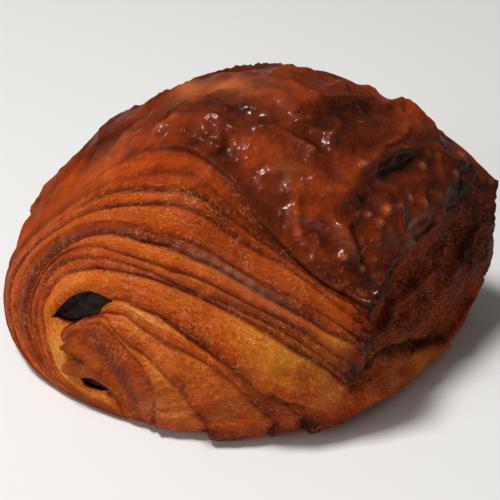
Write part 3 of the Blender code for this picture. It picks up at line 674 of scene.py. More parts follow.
# wet spots of the skin: (place, radius mm, gloss)
WET = [
    (155, 232, 4, -0.6), (182, 183, 2.5, -0.3), (170, 165, 5, -0.3), (215, 262, 3, 0.3),
    (240, 281, 3, 0.5), (264, 297, 3, 0.4), (290, 310, 3, 0.3), (222, 167, 1.5, 0.5),
    (232, 174, 1.5, 0.6), (241, 182, 1.5, 0.6), (188, 149, 3, -0.5), (222, 142, 6, -0.45),
    (350, 125, 5, -0.3), (205, 104, 5, -0.3), (284, 171, 3.6, 0.6), (225, 123, 2, 0.5),
    (253, 110, 2.2, 0.5), (294, 126, 2.4, 0.5), (331, 141, 2.6, 0.55), (298, 186, 2, 0.5),
    (266, 150, 1.5, 0.4), (315, 221, 3, 0.5), (348, 240, 3, 0.5), (300, 216, 2.5, 0.4),
    (235, 178, 2.2, 0.5), (210, 168, 2, 0.5), (168, 149, 1.2, 0.5), (130, 136, 2.2, 0.3),
    (192, 117, 1.4, 0.3), (316, 162, 2, 0.35), (372, 305, 2, 0.3),
]
# torn edge of the tongue on the cut end, from its foot up to the upper opening
TONGUE_EDGE = [(128, 421), (124, 408), (117, 397), (108, 387), (95, 378), (80, 375), (70, 372),
    (66, 369), (64.5, 366), (65, 362.5), (69, 360.5), (74, 359.5), (79.5, 358), (74, 354),
    (68, 350.5), (63.5, 347.5), (63, 344), (66.5, 343.5), (70, 341.5), (65.5, 338), (64.5, 333),
    (66.5, 328), (71, 323.5), (80, 320)]
TONGUE_SIDE = [(230, 320), (230, 440)]
TONGUE_RISE, TONGUE_SLOPE = 1.5, 3.4
# folds of the tongue: (places, half width mm, height mm, bake); a positive bake on a sunken fold is
# painted shade
END_FOLDS = [
    ([(76, 332), (92, 341), (108, 354), (119, 371), (129, 388), (136, 404), (142, 419)], 1.7, 0.9,
      0.17),
    ([(74, 346), (88, 354), (103, 366), (114, 380), (122, 395), (129, 412)], 1.3, -0.5, -0.08),
    ([(68, 351), (74, 354), (80, 358), (90, 364)], 0.4, -0.3, 0.22),
    ([(69, 363), (82, 366), (97, 374), (110, 386)], 1, 0.3, 0.05),
    ([(84, 326), (98, 330), (112, 338), (124, 346)], 0.9, -0.25, 0.05),
    ([(75, 327), (90, 324), (104, 317)], 1.2, 0.4, -0.05),
    ([(98, 326), (112, 333), (127, 344), (143, 359)], 0.45, 0.25, -0.14),
    ([(110, 318), (128, 325), (147, 339), (165, 356)], 0.5, 0.25, -0.12),
    ([(349, 388), (352, 398), (354, 411), (350, 422)], 0.7, -0.4, 0.25),
    ([(268, 389), (285, 398), (300, 403), (312, 407), (324, 412)], 0.5, -0.5, 0.2),
    ([(294, 415), (303, 424), (311, 423), (319, 417)], 0.7, -0.3, 0.18),
    ([(240, 405), (262, 398), (280, 403), (296, 413)], 0.8, -0.3, 0.1),
    ([(262, 377), (285, 374), (308, 374), (334, 378)], 1, -0.3, 0.08),
    ([(282, 386), (300, 390), (320, 391), (338, 386)], 2.2, 0.8, 0),
    ([(112, 300), (128, 305), (148, 316), (170, 328), (192, 343)], 0.5, 0.4, -0.36),
    ([(100, 293), (120, 297), (140, 303), (160, 315), (185, 332), (203, 345)], 1, -0.2, 0.1),
    ([(70, 331), (83, 338), (98, 350), (108, 362)], 0.5, -0.15, 0.08),
    ([(72, 368), (88, 372), (103, 379)], 0.5, 0.2, -0.08),
]
TONGUE_RIDGE = [(70, 318), (92, 333), (110, 350), (124, 368), (134, 386), (141, 403), (147, 422)]


def to_photo(points):
    """Places in the photograph of points of the modelling frame."""
    at, right, ahead, up = camera_rays()
    q = points-at
    deep = q @ ahead
    return np.stack([FRAME_PX/2+FOCAL_PX*(q @ right)/deep, FRAME_PX/2-FOCAL_PX*(q @ up)/deep], -1)


def within(places, outline):
    """Which places lie inside a closed outline."""
    x, y = places[:, 0], places[:, 1]
    inside = np.zeros(len(places), bool)
    for (x0, y0), (x1, y1) in zip(outline, outline[1:]+outline[:1]):
        if y0 != y1:
            inside ^= ((y0 > y) != (y1 > y)) & (x < x0+(y-y0)*(x1-x0)/(y1-y0))
    return inside


def beside(places, px, fine=6):
    """Signed distance in mm from a line in the photograph, left of its run positive, and
    how far along it each place lies, 0 to 1."""
    if fine:
        line = curve(px, np.linspace(0, 1, fine*len(px)))
    else:
        line = np.array(px, float)
    best, side = np.full(len(places), 1e9), np.zeros(len(places))
    along = np.zeros(len(places))
    for k in range(len(line)-1):
        a, ab = line[k], line[k+1]-line[k]
        w = places-a
        t = np.clip(w @ ab/(ab @ ab), 0, 1)
        d = np.linalg.norm(w-t[:, None]*ab, axis=1)
        closer = d < best
        best[closer] = d[closer]
        side[closer] = (w[:, 0]*ab[1]-w[:, 1]*ab[0])[closer]
        along[closer] = (k+t[closer])/(len(line)-1)
    return np.sign(side)*best/PX_PER_MM, along


def bell(distance, width):
    """1 at distance 0, falling away over the width."""
    return np.exp(-(distance/width)**2)


def around(points, spot, radius):
    """1 at a spot, falling away over the radius, and 0 everywhere without one."""
    if spot is None:
        return np.zeros(len(points))
    return bell(np.linalg.norm(points-spot, axis=1), radius)


def ridges(values, width):
    """1 where a noise crosses zero, falling to 0 over the width."""
    return np.clip(1-np.abs(values)/width, 0, 1)**1.2


class Looks:
    """What each place of the crust gets: height along the normal (mm), bake with painted shade,
    gloss, pale grains with painted sheen, and red."""

    def __init__(self, count):
        self.height, self.bake, self.gloss, self.pale, self.red = np.zeros((5, count))

    def add(self, amount, **shares):
        """Adds an amount to each named look by its share."""
        for name, share in shares.items():
            setattr(self, name, getattr(self, name)+share*amount)


def layer_relief(crust, look, near_px):
    """Lips, cracks, colour and gloss of the layers at the two ends."""
    s, k, t, wide = crust.s_at, crust.layer_at, crust.share_at, crust.wide_at
    off_tongue = blend((beside(near_px, TONGUE_RIDGE)[0]+0.4)/1.2)
    for layer, (lips, body, edges, shine) in enumerate(LAYER_LOOK):
        here = crust.on_end & (k == layer)
        at = s[here]
        w = np.maximum(wide[here], LEAST_WIDE)
        d, rest = t[here]*w, (1-t[here])*w
        spot = np.stack([at*WRAP_LENGTH, np.full(len(at), layer*LAYER_APART),
                         crust.part[here]*END_APART], -1)
        ragged = 1+0.6*field(spot, 5.0, layer)+0.4*field(spot, 1.8, layer+3)
        tall = np.minimum(LIP_GAIN*through(lips, at), LIP_SHARE*w)*ragged
        if layer < COVERED_LAYERS:
            start, run = COVERED_SHOWS
        else:
            start, run = RIM_SHOWS if layer > LAST_PLAIN_LAYER else PLAIN_SHOWS
        shown = blend((at-start)/run)
        if layer < COVERED_LAYERS:
            shown = shown*off_tongue[here]
        crack = np.minimum(GROOVE, 0.12*w)*(0.3+0.7*shown)
        if layer < COVERED_LAYERS-1:
            crack = crack*shown
        if layer == 0:
            crack = 0.3*crack
        look.height[here] = shown*tall*blend(d/LIP_RISE)*np.clip(1-t[here], 0, 1)**0.7
        look.height[here] -= crack*bell(rest, GROOVE_WIDTH)
        uneven = np.clip(0.75+0.7*field(spot, 7.0, layer+5), 0.2, 1.3)
        brown_lip = shown*uneven*through(edges, at)*bell(d, np.minimum(LIP_BROWN, 0.5*w))
        look.bake[here] = 0.1+0.9*through(body, at)+brown_lip-0.06*t[here]
        # painted shade: darker lines in the cracks between the layers, at both sides of each crack
        line = 0.26*bell(rest, 0.3)+0.1*bell(d, 0.16)
        look.bake[here] += shown*uneven*line*(0.25 if layer == 0 else 1.0)
        look.gloss[here] = through(shine, at)*(0.35 if layer >= LAST_PLAIN_LAYER else 0.7)
    # torn edge of the rolled tongue
    tongue = crust.on_end*(k < TONGUE_LAYERS)
    d, along = beside(near_px, TONGUE_EDGE, 0)
    d = np.abs(d)*np.where(within(near_px, TONGUE_EDGE+TONGUE_SIDE), 1.0, -1.0)
    hold = tongue*blend((0.62-s)/0.1)*blend(along/0.25)*blend((1-along)/0.05)
    lifted = blend((d+0.1)/0.25)*bell(np.clip(d, 0, None), TONGUE_SLOPE)
    look.height += hold*(TONGUE_RISE*lifted-0.3*bell(d+0.35, 0.3))
    # the inside of the torn edge is browner, and a thin painted shadow line lies at its foot
    dark = 0.16+0.08*blend((along-0.5)/0.1)
    look.bake += hold*(dark*blend((d+0.1)/0.2)*bell(d, 1.6)+0.16*bell(d+0.05, 0.16))
    look.bake -= hold*0.2*blend(-d/0.4)*bell(d, 2.0)
    # the tongue's folds, with painted shade in the sunken ones
    for px, width, tall, dark in END_FOLDS:
        d, along = beside(near_px, px)
        amount = tongue*bell(d, width)*np.sin(np.pi*np.clip(along, 0.03, 0.97))**0.6
        look.add(amount, height=tall, bake=dark)
    look.height *= np.where(crust.part == 1, 1-0.7*blend((crust.n_at-0.92)/0.05), 1.0)
    # fine strata along the layers
    strata = np.stack([s*9.0, crust.n_at*62.0, crust.part*END_APART], -1)
    streaks = crust.on_end*noisy(strata, "strata")
    look.add(streaks, height=0.22, bake=0.1)


def skin_relief(crust, look, points):
    """Folds, wrinkles, colour and gloss of the skin, and the grain of the ends."""
    s, v, top, side, end = crust.s_at, crust.v_at, crust.top, crust.side, crust.on_end
    look.bake[top] = 0.74-0.05*blend((0.4-s[top])/0.1)
    back = 0.22*blend((v[top]-0.2)/0.25)
    look.gloss[top] = 0.02+np.maximum(back, 0.58*blend((s[top]-0.42)/0.2))
    look.bake[side] = 0.66-0.24*blend((0.5-crust.n_at[side])/0.12)
    look.gloss[side] = 0.08
    warp = np.stack([field(points, 10.0, shift) for shift in (5.0, 6.0, 7.0)], -1)
    bent = points+6.0*warp
    folds = ridges(noisy(bent, "folds"), 0.17)
    wrinkles = ridges(noisy(bent*[1, 0.8, 1], "wrinkles"), 0.19)
    swells = noisy(bent, "swells")
    creases = 1-2*np.abs(noisy(points+2.5*warp, "creases"))
    fine, small = noisy(points, "fine"), crust.small
    calm = top*blend(crust.from_rim/4.0)*(1-0.6*crust.hidden)
    patchy = blend(0.5+1.3*noisy(points, "patchy"))
    look.height += calm*(1.0*folds+0.75*wrinkles*patchy+0.45*swells-0.5)
    look.height += calm*(0.2*(creases-0.5)*patchy+0.06*small)
    rough = 0.3*small+0.12*fine+0.5*wrinkles+0.7*swells
    look.height += side*rough*(1-crust.hidden)
    look.height += end*(0.14*small+0.1*fine)*(1-crust.hidden)
    # besides a random tone, painted light and shade: the tops of the swells and the ridges of folds
    # and wrinkles are lighter, their hollows darker
    look.bake += top*(0.11*noisy(points, "skin_tone")+0.05*small-0.08*swells)
    look.bake += top*(-0.05*folds-0.03*wrinkles*patchy)
    look.bake += top*0.08*blend((-noisy(bent, "skin_spots")-0.1)/0.4)
    look.bake += side*(0.12*noisy(points, "side_tone")+0.08*fine+0.1*small)
    look.bake += end*(0.06*noisy(points, "end_tone")+0.05*noisy(points, "end_grain"))
    look.red += np.where(end, 0.3*noisy(points, "end_red"), 0.1-0.25*blend((0.5-s)/0.2))
    look.red += side*0.6*blend((0.5-crust.n_at)/0.12)


def find_tree(points):
    """A tree that finds the points near a place."""
    tree = KDTree(len(points))
    for i, p in enumerate(points):
        tree.insert(Vector(p), i)
    tree.balance()
    return tree


def add_blisters(crust, look, points):
    """Blisters of the skin, many small and a few larger, crowded on the flap."""
    rng = np.random.default_rng(7)
    tree = find_tree(points)
    choices = np.where(crust.skin & (points[:, 2] > BLISTERS_ABOVE))[0]
    for i in rng.choice(choices, BLISTER_DRAWS, replace=False):
        middle = points[i]
        crowd = math.exp(-(np.linalg.norm(middle-FLAP)/CROWD_REACH)**2)
        if rng.random() > 0.12+0.88*crowd:
            continue
        radius = 0.7+0.7*rng.random()**3
        for _, j, d in tree.find_range(Vector(middle), 2.4*radius):
            amount = math.exp(-(d/radius)**2)
            look.height[j] += 0.5*radius*amount
            look.pale[j] = max(look.pale[j], 0.07*amount**3)
            look.bake[j] -= 0.08*amount**3


def add_photo_marks(crust, look, points, surface):
    """The lines, bumps, patches of colour, wet spots and sheen of the photograph."""
    # ridges get painted light, valleys and the ledge's crack painted shade
    for places, width, tall, dark in SKIN_LINES:
        if tall > 0:
            width, tall = 0.85*width, 1.4*tall
        d, along = from_line(points, surface.line(places))
        fade = np.sin(np.pi*np.clip(along, 0.04, 0.96))**0.5
        amount = np.clip(1-d/(1.7*width), 0, 1)**1.2*fade*crust.skin
        look.add(amount, height=tall, bake=dark)
    # swells get painted light and pockets painted shade; small bumps are pale blisters
    for *place, radius, tall, dark in SKIN_BUMPS:
        amount = around(points, surface.hit(place), radius)*crust.skin
        look.add(amount, height=tall, bake=dark)
        if radius < SMALL_BUMP:
            look.add(amount, height=0.4*tall)
            look.add(amount**2, bake=-0.12)
            look.pale = np.maximum(look.pale, 0.2*amount**2)
    for *place, radius, dark, hue in PATCHES:
        look.add(around(points, surface.hit(place), radius), bake=dark, red=hue)
    for *place, radius, wet in WET:
        look.add(around(points, surface.hit(place), radius), gloss=wet)
    # painted sheen: pale spots in the colour that stand in for greyish reflections
    for *place, radius, share in SHEEN:
        look.add(around(points, surface.hit(place), radius), pale=share)


def edge_relief(crust, look, points):
    """The skin's rim over the layers, its hem over the side and the ragged right end."""
    s, n, v, top, side, end = (crust.s_at, crust.n_at, crust.v_at, crust.top, crust.side,
                               crust.on_end)
    lip, hem_side, over = crust.lip, crust.hem_side, crust.over
    look.height += top*0.9*bell(crust.from_rim, 1.5)*lip
    wet_rim = bell(s-0.69, 0.06)*(v < 0.5)
    look.gloss += top*0.7*bell(crust.from_rim-0.6, 1.0)*wet_rim
    hem = n > OUTERMOST
    below = (1-n)*RIM_DEPTH
    look.height += (end & hem)*0.6*lip
    look.height -= (end & ~hem)*0.6*bell(below-0.9, 0.8)*lip
    # painted shade on the end just under the rim's lip
    look.bake += end*0.14*bell(below-0.5, 0.4)*lip
    # where the rim doesn't stand over the layers it runs into them
    look.bake -= top*0.12*bell(crust.from_rim, 7.0)*(1-lip)
    look.bake += end*0.1*blend((n-0.86)/0.12)*(1-lip)
    look.height += top*1.1*bell(over, 2.2)*hem_side
    edge_dark = 0.2*bell(over, 2.5)*blend(0.6+noisy(points, "hem_tone"))
    look.bake += top*edge_dark*(0.2+0.8*hem_side)
    under = (1-n)*SIDE_DEPTH
    look.height -= side*1.1*bell(under, 1.8)*hem_side
    # painted shade on the side just under the hem
    look.bake += side*0.15*bell(under, 1.5)*hem_side
    ragged = end*blend((s-0.94)/0.06)
    look.height += ragged*0.8*noisy(points, "right_end")
    look.bake += ragged*(0.12+0.15*noisy(points, "right_tone"))
    look.red += ragged*0.4


def add_openings(crust, look, points, loops):
    """The lips of the two openings turn in, and the crust covers the batons' ends."""
    near = np.where(crust.on_end & (points[:, 0] < 5) & (points[:, 2] < 36))[0]
    for name, edge in loops.items():
        d = np.full(len(points), FAR_OFF)
        d[near] = np.linalg.norm(points[near][:, None, [0, 2]]-edge[None], axis=-1).min(1)
        look.height -= OPENINGS[name][1]*bell(d, 1.0)
        thin = np.clip(points[:, 1]-BATONS[name]["ends"][0]+LEAST_COVER, 0, LEAST_COVER)
        look.height += (crust.part == 0)*thin*np.exp(-(d/3.2)**4)
        # painted shade round the edges of the openings, where the lips turn in
        look.bake += 0.1*bell(d, 0.6)


def tucked(moved, base):
    """Points with the lower edge drawn in, kept within the solids' box."""
    tuck = np.clip((TUCK_HEIGHT-moved[:, 2])/TUCK_HEIGHT, 0, 1)
    inward = TUCK_DEPTH*(1-np.sqrt(np.clip(1-tuck**2, 0, 1)))
    out = (moved[:, :2]-np.array(FOOT_CENTRE))/np.array(FOOT_REACH)
    length = np.linalg.norm(out, axis=1, keepdims=True)
    out = out/np.maximum(length, 1e-6)
    moved[:, :2] -= out*(inward*blend((length[:, 0]-0.5)/0.3))[:, None]
    low, high = np.array(CAD_BOX[0])/MM, np.array(CAD_BOX[1])/MM
    shift = shift_to_frame()
    moved = np.clip(moved+shift, low+BOX_MARGIN, high-BOX_MARGIN)-shift
    moved[base[:, 2] < 0.01, 2] = 0.0
    return moved


def softened(points, faces, weight, rounds):
    """Points drawn towards the mean of their neighbours, by a weight each."""
    pairs = np.array([(f[k], f[k-1]) for f in faces for k in range(len(f))])
    pairs = np.vstack([pairs, pairs[:, ::-1]])
    pairs = pairs[weight[pairs[:, 0]] > 0.01]
    count = np.maximum(np.bincount(pairs[:, 0], minlength=len(points)), 1)[:, None]
    out = points.copy()
    for _ in range(rounds):
        total = np.stack([np.bincount(pairs[:, 0], out[pairs[:, 1], axis], len(points))
                          for axis in range(3)], -1)
        out += weight[:, None]*np.where(weight[:, None] > 0.01, total/count-out, 0.0)
    return out


def make_crust():
    """Points and faces of the crust, what the material needs at each, and the openings."""
    crust = Crust()
    s, n, v = crust.s_at, crust.n_at, crust.v_at
    corner = np.where(n > OUTERMOST, (1-s)*SKIN_ACROSS, (1-n)*SIDE_DEPTH)
    hold = crust.skin*(s > 0.9)*blend((v-0.1)/0.25)*blend((0.97-v)/0.1)
    points = softened(crust.points, crust.faces, 0.6*hold*bell(corner, 6.0), CORNER_ROUNDS)
    crust.hidden = blend((5.0-points[:, 2])/5.0)
    crust.small = noisy(points, "small")
    surface = Surface(points, crust.triangles())
    near_px = to_photo(points)
    near_px[crust.part == 1] = near_px[:int(np.sum(crust.part == 0))]
    look = Looks(len(points))
    layer_relief(crust, look, near_px)
    skin_relief(crust, look, points)
    add_blisters(crust, look, points)
    add_photo_marks(crust, look, points, surface)
    edge_relief(crust, look, points)
    loops = {name: opening(surface, name) for name in OPENINGS}
    add_openings(crust, look, points, loops)
    bake = look.bake*(1-0.4*crust.hidden*crust.skin)
    height = look.height*np.where(crust.on_end, blend(points[:, 2]/2.5), 1.0)
    moved = tucked(points+crust.normals(points)*height[:, None], points)
    along = np.stack([s*100.0, n*45.0, crust.layer_at+crust.part*30.0], -1)
    along[crust.side, 0] = 100.0+v[crust.side]*55.0
    along[crust.top, 1] = 45.0+v[crust.top]*55.0
    merged = crust.on_end*blend((n-0.9)/0.1)*(1-crust.lip)
    plain = crust.on_end*blend((n-0.925)/0.03)*bell(s-0.62, 0.1)
    past = (1-crust.hem_side)*blend(1-(crust.over+2.5*crust.small)/4.5)
    skin = np.where(crust.top, 1-0.9*past, np.maximum(merged, 0.85*plain))
    blister = 0.9*crust.skin*around(points, FLAP, 22.0)+0.12*crust.skin+0.3*crust.side
    burnt = crust.on_end & (bake > MOST_BAKED)
    # the bake holds painted shade as well as the browning, and pale holds painted sheen as well as
    # pale grains and blisters
    facts = {"bake": np.where(burnt, MOST_BAKED+(bake-MOST_BAKED)*0.55, bake),
             "gloss": np.clip(look.gloss*(1-merged), 0.0, 1.0), "skin": skin,
             "red": look.red, "blister": blister, "pale": np.clip(look.pale, 0.0, 0.5)}
    return moved, crust.faces, facts, along, loops


def shift_to_frame():
    """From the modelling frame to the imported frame, in millimetres."""
    low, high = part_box("chocolate_upper")
    middle = (np.array(low)+np.array(high))/2/MM
    at, ends = BATONS["chocolate_upper"]["at"], BATONS["chocolate_upper"]["ends"]
    return middle - np.array([at[0], (ends[0]+ends[1])/2, at[1]])


def tube_faces(rings, count, closed=True):
    """Faces of a tube of rings with `count` points each, and of its two ends."""
    faces = []
    for k in range(rings-1):
        for i in range(count):
            j = (i+1) % count
            faces.append((k*count+i, (k+1)*count+i, (k+1)*count+j, k*count+j))
    if closed:
        faces.append(tuple(range(count)))
        faces.append(tuple((rings-1)*count+i for i in reversed(range(count))))
    return faces


def rod_rings(baton, reach, edge, grow, around_count, lengths):
    """Rings of a rod along Y with rounded edges."""
    half = np.array(baton["size"])/2+grow
    angle = np.linspace(0, 2*np.pi, around_count, endpoint=False)
    c, s = np.cos(angle), np.sin(angle)
    power = 2/BATON_SQUARE
    ring = np.stack([np.sign(c)*np.abs(c)**power*half[0], np.sign(s)*np.abs(s)**power*half[1]], -1)
    a = math.radians(baton["turn"])
    y0, y1 = reach
    ys = [(y0, 1-edge/half.min())] + [(y, 1.0) for y in np.linspace(y0+edge, y1-edge, lengths)]
    ys += [(y1, 1-edge/half.min())]
    points = []
    for y, size_here in ys:
        p = ring*size_here
        x = p[:, 0]*math.cos(a)-p[:, 1]*math.sin(a)+baton["at"][0]
        z = p[:, 0]*math.sin(a)+p[:, 1]*math.cos(a)+baton["at"][1]
        points += list(zip(x, np.full(around_count, y), z))
    return points, len(ys)


def rough_bar(baton):
    """A baton whose two flat ends are broken up and grooved."""
    points, rings = rod_rings(baton, baton["ends"], BAR_EDGE, 0.0, BAR_AROUND, BAR_LENGTHS)
    faces = tube_faces(rings, BAR_AROUND, False)
    for first, sign in ((0, 1.0), (len(points)-BAR_AROUND, -1.0)):
        rim = np.array(points[first:first+BAR_AROUND])
        middle = rim.mean(0)
        chains = [list(range(first, first+BAR_AROUND))]
        for share in END_RINGS:
            ring = middle + (rim-middle)*share
            slope, offset, depth, width = END_GROOVE
            groove = (ring[:, 0]-middle[0])*slope-(ring[:, 2]-middle[2])+offset
            deep = 0.35+0.5*noisy(ring, "bar_rough")+0.3*noisy(ring, "bar_fine")
            deep += depth*bell(groove, width)
            ring[:, 1] += sign*np.clip(deep, 0.0, 1.6)*min(1.0, (1-share)*4)
            chains.append(list(range(len(points), len(points)+BAR_AROUND)))
            points += [tuple(p) for p in ring]
        made = []
        for outer, inner in zip(chains, chains[1:]):
            for i in range(BAR_AROUND):
                j = (i+1) % BAR_AROUND
                made.append((outer[i], outer[j], inner[j], inner[i]))
        made.append(tuple(chains[-1]))
        faces += made if sign > 0 else [tuple(reversed(f)) for f in made]
    return points, faces


def opening(surface, name, count=72):
    """Even points round an opening, across and up."""
    hits = [surface.hit(p) for p in OPENINGS[name][0]]
    flat = [(h[0], h[2]) for h in hits]
    loop = curve(flat + flat[:1], np.linspace(0, 1, count+1)[:-1])
    away = loop-loop.mean(0)
    torn = noisy(np.stack([loop[:, 0], 0*loop[:, 0], loop[:, 1]], -1), "torn")
    loop = loop + 0.2*torn[:, None]*away/np.linalg.norm(away, axis=1, keepdims=True)
    turn = np.arctan2(*(loop-loop.mean(0)).T[::-1])
    return loop[np.argsort(turn)]


def opening_cutter(loop, baton):
    """A closed body from the opening's outline at the surface on into the baton's bore."""
    middle = loop.mean(0)
    turn = np.arctan2(*(loop-middle).T[::-1])
    bore, _ = rod_rings(baton, (0.0, 10.0), BAR_EDGE, CLEARANCE, BORE_AROUND, 2)
    ring = np.array(bore)[BORE_AROUND:2*BORE_AROUND, [0, 2]]-middle
    ring_turn = np.arctan2(ring[:, 1], ring[:, 0])
    order = np.argsort(ring_turn)
    reach = np.interp(turn, ring_turn[order], np.hypot(*ring.T)[order], period=2*np.pi)
    matched = middle + reach[:, None]*np.stack([np.cos(turn), np.sin(turn)], -1)
    deep = baton["ends"][0]-0.1
    end = baton["ends"][1]+CUT_PAST
    rings = [(CUT_START, 0.0), (deep-CUT_WIDENS, 0.0), (deep, 1.0)]
    rings += [(y, 1.0) for y in np.linspace(deep+2.0, end, CUT_ROWS)]
    points = []
    for y, mix in rings:
        points += [(q[0], y, q[1]) for q in loop*(1-mix)+matched*mix]
    return points, tube_faces(len(rings), len(loop))


def make_object(name, points, faces):
    """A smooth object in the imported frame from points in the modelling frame."""
    mesh = bpy.data.meshes.new(name)
    shift = shift_to_frame()
    mesh.from_pydata([tuple((np.array(p)+shift)*MM) for p in points], [], [tuple(f) for f in faces])
    mesh.validate()
    mesh.shade_smooth()
    obj = bpy.data.objects.new(name, mesh)
    bpy.context.collection.objects.link(obj)
    return obj


def cut(target, tool):
    """Takes the tool's body out of the target, and removes the tool."""
    step = target.modifiers.new("cut", "BOOLEAN")
    step.operation = "DIFFERENCE"
    step.solver = "EXACT"
    step.object = tool
    with bpy.context.temp_override(object=target, active_object=target):
        bpy.ops.object.modifier_apply(modifier=step.name)
    bpy.data.objects.remove(tool)


def build_crust():
    """The crust with its two openings cut, and what the material reads at each point."""
    points, faces, facts, along, loops = make_crust()
    crust = make_object("crust", points, faces)
    for name, loop in loops.items():
        cut(crust, make_object("cutter", *opening_cutter(loop, BATONS[name])))
    # the cut mesh takes its layer facts from the nearest uncut vertex
    tree = find_tree(points)
    mesh = crust.data
    places = np.array([v.co for v in mesh.vertices])/MM - shift_to_frame()
    near = [tree.find(Vector(p)) for p in places]
    index = np.array([hit[1] for hit in near])
    inside = blend((np.array([hit[2] for hit in near])-0.25)/0.8)
    for name, values in facts.items():
        layer = mesh.attributes.new(name, "FLOAT", "POINT")
        value = values[index]
        # the walls that the cut opens are painted near black: painted shade inside the openings
        if name == "bake":
            value = value*(1-inside)+0.98*inside
        if name == "skin":
            value = value*(1-inside)
        layer.data.foreach_set("value", value.astype(np.float32))
    layer = mesh.attributes.new("along", "FLOAT_VECTOR", "POINT")
    layer.data.foreach_set("vector", along[index].astype(np.float32).ravel())
    mesh.shade_smooth()
    return crust


def node(tree, kind, **values):
    """A new shader node: a capital letter names an input, a small one a property."""
    made = tree.nodes.new(kind)
    for key, value in values.items():
        if key[0].isupper():
            made.inputs[key.replace("_", " ")].default_value = value
        else:
            setattr(made, key, value)
    return made


def linear(rgb):
    """Scene colour of a colour given in 0 to 255."""
    return [(c/255.0)**2.2 for c in rgb] + [1.0]


def new_material(name):
    material = bpy.data.materials.new(name)
    material.use_nodes = True
    return material, material.node_tree, material.node_tree.nodes["Principled BSDF"]


def crust_material():
    """Browned crust: colour by bake with painted shade, and red; pale dots, grains and painted
    sheen; with a wet coat.
    """
    material, tree, shader = new_material("baked_crust")
    link = tree.links.new

    def attribute(name):
        return node(tree, "ShaderNodeAttribute", attribute_name=name).outputs["Fac"]

    def maths(kind, a, b):
        made = node(tree, "ShaderNodeMath", operation=kind)
        for socket, value in zip(made.inputs, (a, b)):
            if isinstance(value, (int, float)):
                socket.default_value = value
            else:
                link(value, socket)
        return made.outputs[0]

    def times(a, b):
        return maths("MULTIPLY", a, b)

    def plus(total, *terms):
        """The total with each value added by its share."""
        for value, share in terms:
            total = maths("ADD", total, times(value, share))
        return total

    def centred(value):
        return maths("SUBTRACT", value, 0.5)

    def noise_at(vector, scale, detail=3.0, rough=0.55):
        made = node(tree, "ShaderNodeTexNoise", Scale=scale, Detail=detail, Roughness=rough)
        link(vector, made.inputs["Vector"])
        return made.outputs["Fac"]

    def cells_at(scale):
        made = node(tree, "ShaderNodeTexVoronoi", Scale=scale)
        link(place, made.inputs["Vector"])
        return made.outputs["Distance"]

    def stretched(x, y):
        made = node(tree, "ShaderNodeMapping", Scale=(x, y, 1.0))
        link(layers, made.inputs["Vector"])
        return made.outputs["Vector"]

    def above(value, low, high):
        made = node(tree, "ShaderNodeMapRange", interpolation_type="SMOOTHSTEP",
                    From_Min=low, From_Max=high)
        link(value, made.inputs["Value"])
        return made.outputs["Result"]

    def bumped(height):
        made = node(tree, "ShaderNodeBump", Strength=0.8, Distance=0.0007)
        link(height, made.inputs["Height"])
        return made.outputs["Normal"]

    place = node(tree, "ShaderNodeTexCoord").outputs["Object"]
    layers = node(tree, "ShaderNodeAttribute", attribute_name="along").outputs["Vector"]
    skin, gloss = attribute("skin"), attribute("gloss")
    cut_side = maths("SUBTRACT", 1.0, skin)
    fine = noise_at(stretched(*FINE), 1.0, 2.0, 0.6)
    grains = noise_at(place, GRAINS, 3.0, 0.6)
    blots = noise_at(place, BLOTS, 3.0, 0.6)
    streak = times(centred(noise_at(stretched(*FIBRES), 1.0, 4.0, 0.6)), cut_side)
    fields = noise_at(stretched(*FIELDS), 1.0, 2.0, 0.5)
    flecks = times(above(fine, 0.54, 0.68), times(above(fields, 0.38, 0.6), cut_side))
    clusters = above(noise_at(place, CLUSTERS, 3.0, 0.6), 0.45, 0.68)
    crumbs = times(times(above(cells_at(CRUMBS), 0.62, 0.25), cut_side), clusters)
    pores = times(above(fine, 0.42, 0.3), cut_side)
    dots = maths("MAXIMUM", maths("SUBTRACT", 0.3, cells_at(DOTS)), 0.0)
    dots = times(times(dots, 3.3), attribute("blister"))
    crinkle = maths("ABSOLUTE", centred(noise_at(place, CRINKLES, 2.0, 0.5)), 0.0)
    crinkle = times(crinkle, skin)

    bake = plus(attribute("bake"), (centred(blots), 0.2), (centred(grains), 0.1),
                (streak, 0.32), (flecks, -0.16), (crumbs, -0.1), (cut_side, 0.03),
                (pores, 0.1), (dots, -0.18))
    ramp = node(tree, "ShaderNodeValToRGB")
    band = ramp.color_ramp
    while len(band.elements) < len(BAKED_COLOURS):
        band.elements.new(0.5)
    for element, (at, rgb) in zip(band.elements, BAKED_COLOURS):
        element.position = at
        element.color = linear(rgb)
    link(bake, ramp.inputs["Fac"])
    hue = node(tree, "ShaderNodeHueSaturation")
    link(plus(0.5, (attribute("red"), -0.012)), hue.inputs["Hue"])
    link(ramp.outputs["Color"], hue.inputs["Color"])
    pale = node(tree, "ShaderNodeMix", data_type="RGBA")
    # the pale mix takes pale flecks, crumbs and dots, and the painted sheen that the pale attribute
    # carries
    amount = plus(attribute("pale"), (flecks, 0.15), (crumbs, 0.14), (dots, 0.05))
    link(amount, pale.inputs["Factor"])
    link(hue.outputs["Color"], pale.inputs["A"])
    pale.inputs["B"].default_value = linear(PALE_COLOUR)
    link(pale.outputs["Result"], shader.inputs["Base Color"])
    rough = plus(0.68, (gloss, -0.3), (centred(blots), 0.2), (flecks, -0.25))
    link(rough, shader.inputs["Roughness"])
    shader.inputs["Specular IOR Level"].default_value = 0.03
    link(times(gloss, 0.5), shader.inputs["Coat Weight"])
    shader.inputs["Coat Roughness"].default_value = 0.2
    tall = plus(0.0, (grains, 0.35), (streak, 0.7), (flecks, 0.12), (crumbs, 0.24),
                (pores, -0.3), (dots, 0.9), (blots, 0.6), (crinkle, -2.0))
    link(bumped(tall), shader.inputs["Normal"])
    link(bumped(plus(0.0, (crinkle, -2.2), (streak, -0.7))), shader.inputs["Coat Normal"])
    return material


